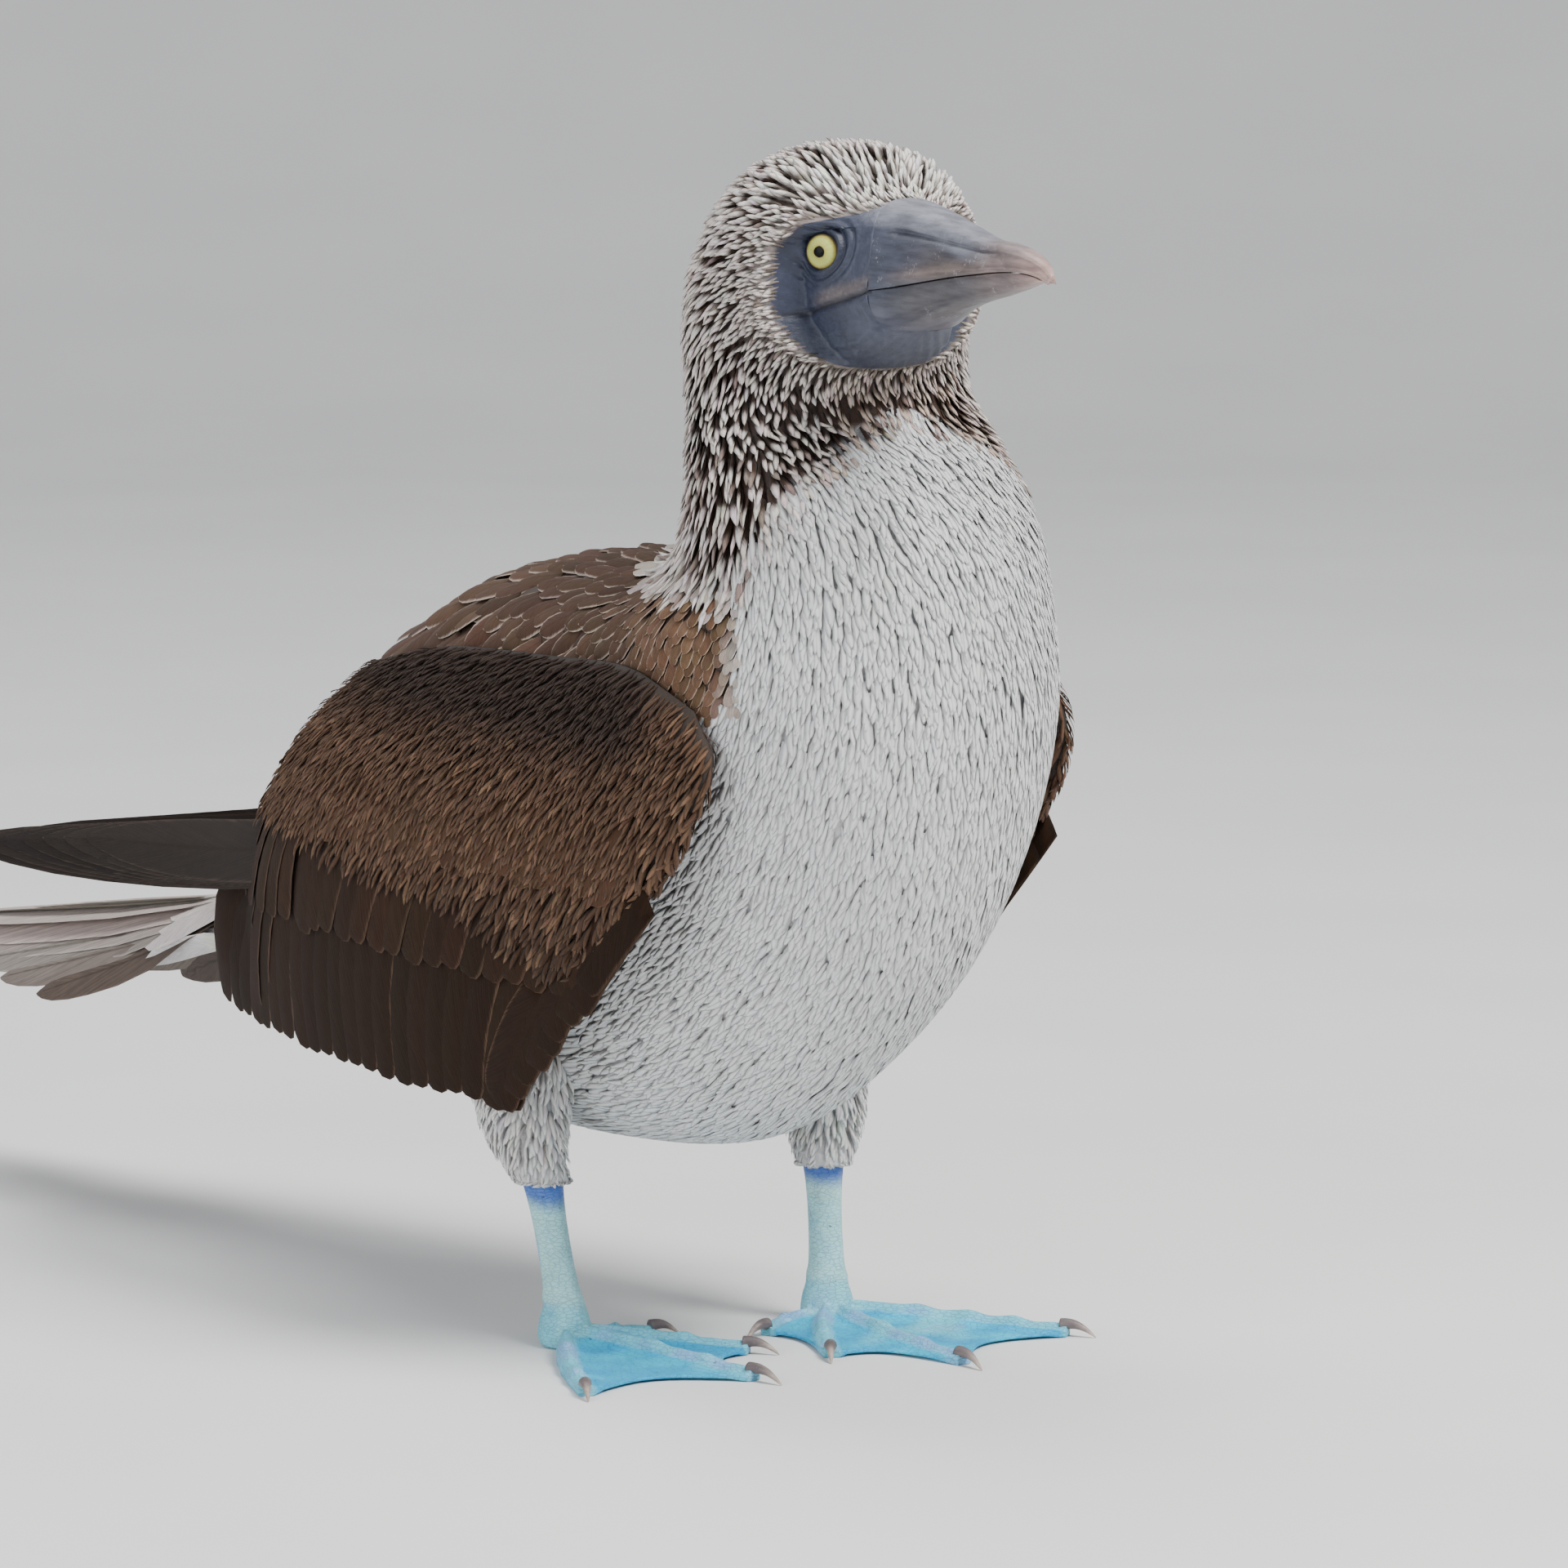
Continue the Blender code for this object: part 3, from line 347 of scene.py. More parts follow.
def outward(verts, tris):
    """Turn all the faces of a closed surface so that it has a positive volume."""
    v = np.asarray(verts)
    t = np.asarray(tris)
    vol = np.einsum("ij,ij->i", v[t[:, 0]], np.cross(v[t[:, 1]], v[t[:, 2]])).sum()
    return t if vol > 0 else t[:, ::-1]


def tube(rings):
    """Closed surface through rings of equal counts, with flat ends."""
    g = np.array(rings)
    nr, nc = g.shape[:2]
    tris = np.vstack([grid_faces(nr, nc, True), cap_faces(0, nc, True), cap_faces((nr - 1) * nc, nc)])
    verts = g.reshape(-1, 3)
    return verts, outward(verts, tris)


# Feathers

ACROSS = {3: np.array([-1.0, 0.0, 1.0]), 5: np.array([-1.0, -0.5, 0.0, 0.5, 1.0]),
          7: np.array([-1.0, -0.66, -0.3, 0.0, 0.3, 0.66, 1.0])}

# The side of each vane's own patch on the bake map, and the most vanes in one mesh.
BAKE_PATCH = 0.0028
MOST_VANES = 5500


def plume(name, rows, place, root, tip, mat, rng, camber, ridge=0.0, m=3, hard=False, rag=0.0):
    """Vanes as one mesh. The rows are each vane's line, side and up vectors and its half widths."""
    C, B, N, W = rows
    n, k = C.shape[:2]
    s = ACROSS[m]
    wl = W * (1 + rag * rng.uniform(-1, 1, W.shape))
    wr = W * (1 + rag * rng.uniform(-1, 1, W.shape))
    w = np.where(s[None, None, :] < 0, wl[:, :, None], wr[:, :, None])[:, :-1]
    rise = ridge * np.exp(-(s / 0.15) ** 2) - camber * s * s
    body = (C[:, :-1, None, :] + B[:, :-1, None, :] * (w * s)[..., None]
            + N[:, :-1, None, :] * (w * rise)[..., None])
    verts = np.concatenate([body.reshape(n, (k - 1) * m, 3), C[:, -1:, :]], 1)
    per = (k - 1) * m + 1
    last = (k - 2) * m
    t = []
    for r in range(k - 2):
        quads = [(r * m + j, r * m + j + 1, (r + 1) * m + j + 1, (r + 1) * m + j) for j in range(m - 1)]
        quads.append((r * m, (r + 1) * m, (r + 1) * m + m - 1, r * m + m - 1))
        for a, b, c, d in quads:
            t += [(a, b, c), (a, c, d)]
    t += [(last + j, last + j + 1, per - 1) for j in range(m - 1)]
    t.append((last, per - 1, last + m - 1))
    t += [(0, j + 1, j) for j in range(1, m - 1)]
    tris = (np.array(t)[None] + (np.arange(n) * per)[:, None, None]).reshape(-1, 3)
    ob = mesh_object(name, verts.reshape(-1, 3), tris, mat)
    across = np.concatenate([np.tile(s, k - 1), [0.0]])
    along = np.concatenate([np.repeat(np.linspace(0, 1, k)[:-1], m), [1.0]])
    patch = np.stack([across * 0.5, along - 0.5], 1) * BAKE_PATCH
    add_uv(ob, "OFBake", (np.clip(place, 0.004, 0.996)[:, None, :] + patch[None]).reshape(-1, 2))
    add_uv(ob, "Vane", np.tile(np.stack([across * 0.5 + 0.5, along], 1), (n, 1)))
    paint(ob, "Root", np.repeat(root, per, 0))
    paint(ob, "Tip", np.repeat(tip, per, 0))
    if hard:
        kind = np.zeros(per, np.int8)
        kind[0:per - 1:m] = 1
        kind[m - 1:per - 1:m] = 2
        kind[-1] = 3
        sharpen(ob, np.tile(kind, n))
    ob.data.uv_layers.active = ob.data.uv_layers["OFBake"]
    return ob


def plumes(name, rows, place, root, tip, mat, rng, **kw):
    """A coat too large for one mesh, as pieces cut along the skin."""
    order = np.argsort(rows[0][:, 0, 2])
    cuts = np.array_split(order, max(1, -(-len(order) // MOST_VANES)))
    return [plume("%s_%d" % (name, i + 1), [r[k] for r in rows], place[k], root[k], tip[k], mat, rng, **kw)
            for i, k in enumerate(cuts)]


def on_map(u, v):
    """Where feathers have their roots on the unwrap of the skin."""
    return np.stack([u % 1.0, v], 1)


def on_skin(skin, u, v, d, length, profile, base, lift, curl, rng, yaw, roll, wave):
    """Lines of feathers that follow the skin from their roots, setting off along d."""
    p0, n0 = skin.at(u, v)
    d = unit(d - n0 * (d * n0).sum(-1, keepdims=True))
    turn = rng.normal(0, yaw, len(u))[:, None]
    d = unit(d + np.cross(n0, d) * np.tan(np.clip(turn, -1, 1)))
    t = np.array(profile[0])
    uu, vv = np.tile(u[:, None], len(t)), np.tile(v[:, None], len(t))
    a, b = u, v
    for k in range(1, len(t)):
        for _ in range(2):
            step = (t[k] - t[k - 1]) * length * 0.5
            pu, pv = skin.slopes(a, b)
            g11, g12, g22 = (pu * pu).sum(-1), (pu * pv).sum(-1), (pv * pv).sum(-1)
            b1, b2 = (pu * d).sum(-1), (pv * d).sum(-1)
            det = g11 * g22 - g12 * g12 + 1e-14
            a = a + (b1 * g22 - b2 * g12) / det * step
            b = np.clip(b + (g11 * b2 - g12 * b1) / det * step, 0, 1)
            n0 = skin.at(a, b)[1]
            d = unit(d - n0 * (d * n0).sum(-1, keepdims=True))
        uu[:, k], vv[:, k] = a, b
    p, n = skin.at(uu, vv)
    first = d[:, None, :]
    h = base[:, None] + (lift - base)[:, None] * smooth(t * 1.15)[None] + curl[:, None] * (t ** 3)[None]
    side = np.cross(n, first)
    sway = rng.normal(0, wave, len(u))[:, None] * np.sin(t * 3.1)[None] * length[:, None]
    C = p + n * h[..., None] + side * sway[..., None]
    T = unit(np.gradient(C, axis=1))
    B = unit(np.cross(T, n))
    N = np.cross(B, T)
    r = np.tan(np.clip(rng.normal(0, roll, len(u)), -0.9, 0.9))[:, None, None]
    B = unit(B + N * r)
    return C, B, np.cross(B, T)


# Finishes

class Finish:
    """A material with one principled surface, and short words for its nodes."""

    def __init__(self, name):
        self.material = bpy.data.materials.new(name)
        self.material.use_nodes = True
        self.tree = self.material.node_tree
        self.tree.nodes.clear()
        out = self.add("OutputMaterial")
        self.surface = self.add("BsdfPrincipled")
        self.join(self.surface.outputs[0], out.inputs[0])
        self.here = self.add("TexCoord").outputs["Object"]

    def add(self, kind):
        return self.tree.nodes.new("ShaderNode" + kind)

    def join(self, value, socket):
        """Give a socket a number, a colour or what another node puts out."""
        if isinstance(value, bpy.types.NodeSocket):
            self.tree.links.new(value, socket)
        elif socket.type == "RGBA":
            socket.default_value = (*value, 1.0)
        else:
            socket.default_value = value

    def node(self, kind, values, out=0):
        """A node with the values of some of its inputs, by name or number."""
        n = self.add(kind)
        for socket, value in values.items():
            self.join(value, n.inputs[socket])
        return n.outputs[out]

    def set(self, values):
        for name, value in values.items():
            self.join(value, self.surface.inputs[name])

    def math(self, op, *values):
        n = self.add("Math")
        n.operation = op
        for value, socket in zip(values, n.inputs):
            self.join(value, socket)
        return n.outputs[0]

    def times(self, a, b):
        return self.math("MULTIPLY", a, b)

    def plus(self, a, b):
        return self.math("ADD", a, b)

    def line(self, x, slope, start):
        return self.math("MULTIPLY_ADD", x, slope, start)

    def around(self, x, spread):
        """A noise value turned into one about zero."""
        return self.times(self.math("SUBTRACT", x, 0.5), spread)

    def mix(self, share, a, b, blend="MIX"):
        n = self.add("Mix")
        n.data_type = "RGBA"
        n.blend_type = blend
        n.clamp_result = True
        for value, k in ((share, 0), (a, 6), (b, 7)):
            self.join(value, n.inputs[k])
        return n.outputs[2]

    def tint(self, a, b):
        return self.mix(1.0, a, b, "MULTIPLY")

    def ramp(self, x, stops):
        n = self.add("ValToRGB")
        el = n.color_ramp.elements
        while len(el) < len(stops):
            el.new(0.5)
        for e, (place, colour) in zip(el, stops):
            e.position = place
            e.color = (*colour, 1.0)
        self.join(x, n.inputs[0])
        return n.outputs[0]

    def steps(self, x, low, high):
        n = self.add("MapRange")
        n.interpolation_type = "SMOOTHSTEP"
        for value, k in ((x, 0), (low, 1), (high, 2)):
            self.join(value, n.inputs[k])
        return n.outputs[0]

    def scaled(self, where, scale):
        return self.node("Mapping", {"Vector": where, "Scale": scale})

    def noise(self, where, scale, detail, rough):
        return self.node("TexNoise", {"Vector": where, "Scale": scale, "Detail": detail, "Roughness": rough})

    def parts(self, x, y, z):
        return self.node("CombineXYZ", {0: x, 1: y, 2: z})

    def attribute(self, name):
        n = self.add("Attribute")
        n.attribute_name = name
        return n.outputs

    def bump(self, height, distance, strength=0.8):
        self.set({"Normal": self.node("Bump", {"Distance": distance, "Strength": strength, "Height": height})})


SHAFT_BROWN = (0.02, 0.012, 0.008)
BARB_SLANT = 0.225


def feather_finish(name, tip, rim, rim_share, barbs, barb_dark, rough, shaft=0.0, sheen=0.03, bump=0.00012,
                   soft=0.0, gloss=0.12):
    """Vane with a base colour, a tip colour, a rim, a shaft and barbs that slant to the tip."""
    g = Finish(name)
    uv = g.add("UVMap")
    uv.uv_map = "Vane"
    sep = g.add("SeparateXYZ")
    g.join(uv.outputs[0], sep.inputs[0])
    s = g.math("ABSOLUTE", g.line(sep.outputs[0], 2.0, -1.0))
    t = sep.outputs[1]
    root, end = g.attribute("Root"), g.attribute("Tip")
    barb = g.line(s, -BARB_SLANT, t)
    lines = g.noise(g.parts(g.times(barb, barbs), g.times(s, 1.2), g.times(root["Alpha"], 57.0)), 1.0, 2.0, 0.6)
    patchy = g.noise(g.here, 260.0, 2.0, 0.5)
    on_tip = g.steps(g.plus(t, g.around(lines, 0.22)), *tip)
    on_rim = g.times(g.steps(g.plus(s, g.around(lines, 0.25)), *rim), rim_share)
    colour = g.mix(g.math("MAXIMUM", on_tip, on_rim), root["Color"], end["Color"])
    dark = g.line(g.steps(lines, 0.3, 0.7), barb_dark, 1.0 - barb_dark)
    dark = g.times(dark, g.line(patchy, 0.24, 0.88))
    colour = g.tint(colour, g.ramp(dark, [(0.0, (0, 0, 0)), (1.0, (1, 1, 1))]))
    if shaft > 0:
        share = g.times(g.math("SUBTRACT", 1.0, g.steps(s, 0.03, 0.09)), shaft)
        colour = g.mix(share, colour, SHAFT_BROWN)
    g.set({"Base Color": colour, "Roughness": rough, "Specular IOR Level": gloss, "Sheen Weight": sheen,
           "Sheen Roughness": 0.5})
    if soft > 0:
        g.set({"Subsurface Weight": soft, "Subsurface Radius": (1.0, 0.9, 0.8), "Subsurface Scale": 0.002})
    g.bump(lines, bump)
    return g.material


# Trunk surface

BODY_RINGS, NECK_RINGS, HEAD_RINGS, AROUND = 96, 38, 132, 224
STATIONS = np.concatenate([np.linspace(0, FIRST_NECK, BODY_RINGS),
                           np.linspace(FIRST_NECK, FIRST_HEAD, NECK_RINGS)[1:],
                           np.linspace(FIRST_HEAD, len(TRUNK) - 1, HEAD_RINGS)[1:]])

# Nothing below this height is judged in the head's frame.
HEAD_LOW = 0.300


def swell(p):
    along = smooth((p[..., 1] + 0.01) / 0.03) * smooth((0.215 - p[..., 1]) / 0.06)
    band = np.exp(-((p[..., 2] - 0.229) / 0.012) ** 2)
    out = p.copy()
    out[..., 0] *= 1 + 0.10 * along * band
    return out


def bare(p):
    """1 on the bare face, 0 on the feathered hood."""
    f, s, z = head_frame(p)
    return smooth((f - face_edge(z)) / 0.0045) * smooth((z - 0.3035) / 0.003)


def face_width(f, z):
    wide = read_rows(f, FACE_WIDE)
    low = np.clip((0.334 - z) / 0.028, 0, 1)
    high = np.clip((z - 0.345) / 0.012, 0, 1)
    wide = wide * np.sqrt(np.maximum(0.05, 1 - 0.85 * low ** 2)) * (1 - 0.10 * high ** 2)
    eye = np.hypot(f - EYE_AT[0], z - EYE_AT[2])
    lore = np.hypot(f - 0.0440, z - 0.3420)
    return wide + 0.0008 * np.exp(-((eye - 0.0085) / 0.003) ** 2) - 0.0010 * np.exp(-(lore / 0.006) ** 2)


def head_shape(p):
    f, s, z = head_frame(p)
    wide = face_width(f, z)
    inside = bare(p) * (np.abs(s) > wide)
    s = np.sign(s) * (np.abs(s) + (wide - np.abs(s)) * inside)
    return head_point(f, s, z)


# Half outline of the closed bill at its base: share of the half width, share of the depth.
BASE_HALF = [(0.0, 0.0), (0.28, 0.012), (0.52, 0.070), (0.67, 0.165), (0.755, 0.27), (0.84, 0.40), (0.93, 0.55),
             (0.985, 0.68), (0.98, 0.79), (0.86, 0.90), (0.60, 0.975), (0.30, 0.997), (0.0, 1.0)]


def base_outline(s, z):
    """The bill's outline at its base, in the direction of s, z seen from its middle."""
    f, zt, zm, zb, w = BILL[0]
    half = curve(BASE_HALF, 80)
    mid = zt + (zb - zt) * 0.5
    ys, zs = half[:, 0] * w, zt + (zb - zt) * half[:, 1]
    ang = np.arctan2(zs - mid, ys)
    rad = np.hypot(zs - mid, ys)
    k = np.argsort(ang)
    phi = np.arctan2(z - mid, np.abs(s))
    r = np.interp(phi, ang[k], rad[k])
    return np.sign(s) * r * np.cos(phi), mid + r * np.sin(phi)


def trunk_grid():
    g = swell(np.array([ring(r, AROUND) for r in spline(TRUNK, STATIONS)]))
    head = STATIONS > FIRST_HEAD
    g[head] = head_shape(g[head])
    t = smooth((STATIONS[head] - 18.6) / 2.4)[:, None]
    f, s, z = head_frame(g[head])
    s2, z2 = base_outline(s, z)
    lean = BILL[0][0] + (BILL[0][1] - z2) * BILL_LEAN
    last = (STATIONS[head] > len(TRUNK) - 1 - 1e-6)[:, None]
    f = np.where(last, lean, f)
    g[head] = head_point(f, s + (s2 - s) * t, z + (z2 - z) * t)
    return g


OUTER = Skin(trunk_grid())
FACE = bare(OUTER.g) * (STATIONS > FIRST_HEAD)[:, None]
EYES = np.array([head_point(EYE_AT[0], k * EYE_AT[1], EYE_AT[2]) for k in (-1, 1)])


def coat_depth():
    """How far the skin lies below the tips of the feathers, ring by ring."""
    f, s, z = head_frame(OUTER.g)
    depth = np.interp(STATIONS, [0, 1.2, 8.5, 10.5, 13, 16], [0.0014, 0.0016, 0.0016, COAT, COAT, COAT])[:, None]
    near = np.where((STATIONS > FIRST_HEAD)[:, None], smooth((face_edge(z) - f) / 0.016), 1.0)
    gap = 0.0003 + (depth - 0.0003) * near
    return gap * (1 - FACE)


DEEP = coat_depth()
FLESH = Skin(OUTER.g - OUTER.n * DEEP[..., None])


def mouth_groove(p):
    """Depth of the fold that carries the mouth line back over the face."""
    f, s, z = head_frame(p)
    fade = smooth((f - 0.0150) / 0.006) * smooth((0.060 - f) / 0.002)
    d = z - read_rows(f, MOUTH_BACK)
    return fade * (0.0011 * np.exp(-(d / 0.0007) ** 2) - 0.0005 * np.exp(-((d - 0.0020) / 0.0011) ** 2)
                   - 0.0004 * np.exp(-((d + 0.0022) / 0.0014) ** 2))


def throat_folds(p):
    f, s, z = head_frame(p)
    low = smooth((0.3225 - z) / 0.008)
    q = np.abs(s) * 0.9 + (z - 0.306) * 0.55 + 0.0007 * noise3(p, 260, 3)
    return low * 0.00038 * np.sin(q / 0.00058) * (0.6 + 0.4 * noise3(p, 180, 5))


def face_relief(p):
    """Height added along the surface on the bare face: lids, folds and wrinkles."""
    f, s, z = head_frame(p)
    df, dz = f - EYE_AT[0], z - EYE_AT[2]
    rho = np.hypot(df * 1.02, dz * 0.96)
    ang = np.arctan2(dz, df)
    side = (np.abs(s) > 0.008) * bare(p)
    wrinkle = noise3(p, 420, 7)
    lid = (0.0011 * np.exp(-((rho - 0.0062) / 0.00075) ** 2)
           - 0.0004 * np.exp(-((rho - 0.0076) / 0.0005) ** 2)
           + 0.0004 * np.exp(-((rho - 0.0087 - 0.0004 * np.sin(3 * ang)) / 0.0007) ** 2)
           - 0.0003 * np.exp(-((rho - 0.0100 - 0.0005 * np.sin(2 * ang + 1)) / 0.0006) ** 2)
           + 0.0002 * np.exp(-((rho - 0.0112) / 0.0006) ** 2))
    lid = lid * (1 + 0.25 * wrinkle)
    pit = -0.0050 * smooth((0.0052 - rho) / 0.0012)
    fine = 0.00012 * wrinkle + 0.00010 * noise3(p, 900, 9)
    return side * (lid + pit + fine) + bare(p) * (throat_folds(p) - mouth_groove(p))


# Colours, linear light

WHITE = (0.87, 0.87, 0.87)
# Cream tint of the lower belly, darkened as painted shade of the underside.
CREAM_AND_SHADE = (0.72, 0.70, 0.65)
TIP_PALE = (0.70, 0.63, 0.59)
# Dark brown of the hood's feather bases, deepened into painted shade that shows between the pale tips.
HOOD_DARK_AND_SHADE = (0.050, 0.028, 0.019)
MANTLE = (0.088, 0.050, 0.033)
MANTLE_RIM = (0.50, 0.40, 0.33)
WING_DARK = (0.040, 0.026, 0.020)
# Warm brown of the middle of the upper wing, partly painted sheen.
WING_WARM_SHEEN = (0.108, 0.060, 0.037)
FACE_BLUE = (0.060, 0.070, 0.110)
HORN = (0.150, 0.140, 0.150)


def shade(colour, rng, n, spread=0.10, hue=0.03):
    """The colour with a random brightness and tint for each of n vanes, and a random number."""
    c = np.array(colour, float)
    if c.ndim == 1:
        c = np.tile(c, (n, 1))
    k = 1 + rng.normal(0, spread, (n, 1))
    t = 1 + rng.normal(0, hue, (n, 3))
    return np.hstack([np.clip(c * k * t, 0, 1), rng.uniform(size=(n, 1))])


def lay(under, over, share):
    """One colour over another, each of them for all points or for each point."""
    under, over = np.asarray(under, float), np.asarray(over, float)
    return under + (over - under) * np.clip(share, 0, 1)[..., None]


def azimuth(p):
    """Degrees round the neck from the front."""
    return np.degrees(np.arctan2(np.abs(p[..., 0]), -p[..., 1]))


def hood(p):
    """1 on the streaked head and neck, 0 on the white breast and the back."""
    z = p[..., 2]
    border = np.interp(z, [0.245, 0.2535, 0.2637, 0.2733, 0.279, 0.285, 0.290, 0.2945, 0.296],
                       [92, 81, 72, 66, 60, 50, 36, 6, -20])
    az = azimuth(p) + 5 * noise3(p, 90, 11)
    return smooth((az - border + 4) / 9) * smooth((z - 0.2440) / 0.004)


def mantle(p):
    """1 on the scaled brown back above the wings, 0 elsewhere."""
    y, z = p[..., 1], p[..., 2]
    az = azimuth(p) + 4 * noise3(p, 110, 12)
    front = smooth((az - 73) / 3)
    line = np.interp(y, [-0.02, 0.0, 0.03, 0.08, 0.14, 0.195, 0.24, 0.29],
                     [0.212, 0.206, 0.204, 0.200, 0.192, 0.178, 0.155, 0.135])
    return front * smooth((z - line) / 0.004) * smooth((0.250 - z) / 0.004) * smooth((0.262 - y) / 0.03)


def tailward(skin, u, v):
    return -unit(skin.slopes(u, v)[1])


def sow(skin, count, zone, spacing, rng):
    """Roots spread evenly, kept where the zone says, no nearer than the spacing."""
    u, v = skin.scatter(count, rng)
    p, n = skin.at(u, v)
    ok = zone(p, n) > rng.uniform(0.02, 0.98, count)
    u, v, p, n = u[ok], v[ok], p[ok], n[ok]
    keep = thin_out(p, spacing(p))
    return u[keep], v[keep], p[keep], n[keep]


def depth_at(u, v):
    return OUTER.read(DEEP[..., None], u, v)[..., 0]


# Outlines of vanes: places along the vane, and the half width there.
POINTED = ([0.0, 0.26, 0.50, 0.72, 0.88, 1.0], [0.50, 0.85, 1.0, 0.80, 0.44, 0.0])
ROUND = ([0.0, 0.25, 0.50, 0.72, 0.87, 0.96, 1.0], [0.60, 0.90, 1.0, 0.95, 0.74, 0.42, 0.0])
LONG = ([0.0, 0.2, 0.4, 0.60, 0.78, 0.90, 0.96, 0.99, 1.0], [0.80, 0.92, 1.0, 1.0, 1.0, 0.95, 0.80, 0.48, 0.0])
SHORT = ([0.0, 0.25, 0.50, 0.70, 0.85, 0.95, 1.0], [0.85, 1.0, 1.0, 0.92, 0.72, 0.40, 0.0])
PRIMARY = ([0.0, 0.2, 0.4, 0.55, 0.68, 0.79, 0.88, 0.945, 0.985, 1.0],
           [0.60, 0.85, 1.0, 1.0, 0.95, 0.82, 0.62, 0.38, 0.16, 0.0])
RECTRIX = ([0.0, 0.2, 0.4, 0.56, 0.70, 0.81, 0.90, 0.96, 0.99, 1.0],
           [0.45, 0.75, 0.98, 1.0, 0.95, 0.82, 0.60, 0.34, 0.12, 0.0])


def outline(half, profile):
    """Half widths along each vane, from its widest and the shape of its outline."""
    return half[:, None] * np.array(profile[1])


def make_hood(mat):
    """Head and neck, with the smallest feathers round the face."""
    rng = np.random.default_rng(5)

    def zone(p, n):
        return hood(p) * np.where(p[..., 2] > HEAD_LOW, bare(p) < 0.45, True)

    def spacing(p):
        f, s, z = head_frame(p)
        near = np.clip((face_edge(z) - f) / 0.030, 0, 1)
        on_head = np.interp(near, [0, 0.15, 0.5, 1.0], [0.00095, 0.00115, 0.0017, 0.0022])
        return np.where(z > HEAD_LOW, on_head, np.interp(z, [0.245, 0.27, 0.30], [0.0030, 0.0027, 0.0021]))

    u, v, p, n = sow(OUTER, 150000, zone, spacing, rng)
    k, sp = len(u), spacing(p)
    f, s, z = head_frame(p)
    rim = np.where(z > HEAD_LOW, smooth((0.012 - face_edge(z) + f) / 0.010), 0.0)
    length = sp * rng.uniform(3.8, 5.4, k) * (1 + 0.2 * rim)
    lift = sp * rng.uniform(0.05, 0.28, k) + 0.0003 * rim
    curl = sp * rng.uniform(-0.05, 0.35, k)
    rows = (*on_skin(OUTER, u, v, tailward(OUTER, u, v), length, POINTED, -0.8 * depth_at(u, v), lift, curl,
                     rng, 0.16, 0.30, 0.03),
            outline(sp * rng.uniform(0.40, 0.60, k) * (1 + 0.35 * rim), POINTED))
    brow = smooth((z - 0.350) / 0.010) * smooth((f - 0.012) / 0.02)
    low = smooth((0.262 - z) / 0.02)
    throat = smooth((0.312 - z) / 0.012) * smooth((70 - azimuth(p)) / 20) * (z > 0.28)
    # The dark feather bases are partly painted shade between the pale tips.
    root = lay(HOOD_DARK_AND_SHADE, (0.44, 0.39, 0.35), 0.85 * brow + 0.10 * low + 0.35 * rim)
    tip = lay(TIP_PALE, (0.86, 0.83, 0.78), brow + 0.5 * low)
    tip = lay(tip, (0.52, 0.40, 0.32), throat * 0.8)
    dark = (rng.uniform(size=k) < 0.06 + 0.10 * (z < 0.29)) * (1 - brow)
    tip = lay(tip, (0.16, 0.10, 0.075), dark * 0.8)
    return plumes("coat_hood", rows, on_map(u, v), shade(root, rng, k, 0.2), shade(tip, rng, k, 0.08), mat, rng,
                  camber=0.55, rag=0.12)


def make_white(mat):
    """Breast, belly, flanks and rump."""
    rng = np.random.default_rng(6)

    def zone(p, n):
        return (1 - hood(p)) * (1 - mantle(p)) * (p[..., 2] < 0.297)

    def spacing(p):
        return mix(0.0024, 0.0017, smooth((0.10 - p[..., 1]) / 0.08))

    u, v, p, n = sow(OUTER, 170000, zone, spacing, rng)
    k, sp = len(u), spacing(p)
    y, z = p[:, 1], p[:, 2]
    length = sp * rng.uniform(4.8, 6.8, k)
    lift = sp * rng.uniform(-0.03, 0.03, k)
    rows = (*on_skin(OUTER, u, v, tailward(OUTER, u, v), length, POINTED, -0.35 * depth_at(u, v), lift,
                     sp * rng.uniform(-0.05, 0.01, k), rng, 0.11, 0.05, 0.03),
            outline(sp * rng.uniform(0.56, 0.80, k), POINTED))
    # Darker and creamier towards the bottom: a cream tint with painted shade of the underside.
    base = lay(WHITE, CREAM_AND_SHADE, 0.35 * smooth((0.16 - z) / 0.10))
    base = lay(base, (0.42, 0.35, 0.30), smooth((noise3(p, 75, 21) - 0.45) / 0.5) * 0.18)
    nape = smooth((azimuth(p) - 70) / 20) * smooth((z - 0.205) / 0.02)
    base = lay(base, (0.30, 0.20, 0.15), (rng.uniform(size=k) < 0.30 * nape) * 0.55)
    rump = smooth((y - 0.235) / 0.03) * smooth((z - 0.125) / 0.02)
    base = lay(base, (0.20, 0.14, 0.11), rump * (rng.uniform(size=k) < 0.5) * 0.7)
    root = lay(base, (0.60, 0.58, 0.56), np.full(k, 0.20))
    return plumes("coat_white", rows, on_map(u, v), shade(root, rng, k, 0.03, 0.01),
                  shade(base, rng, k, 0.02, 0.006), mat, rng, camber=0.10, rag=0.30)


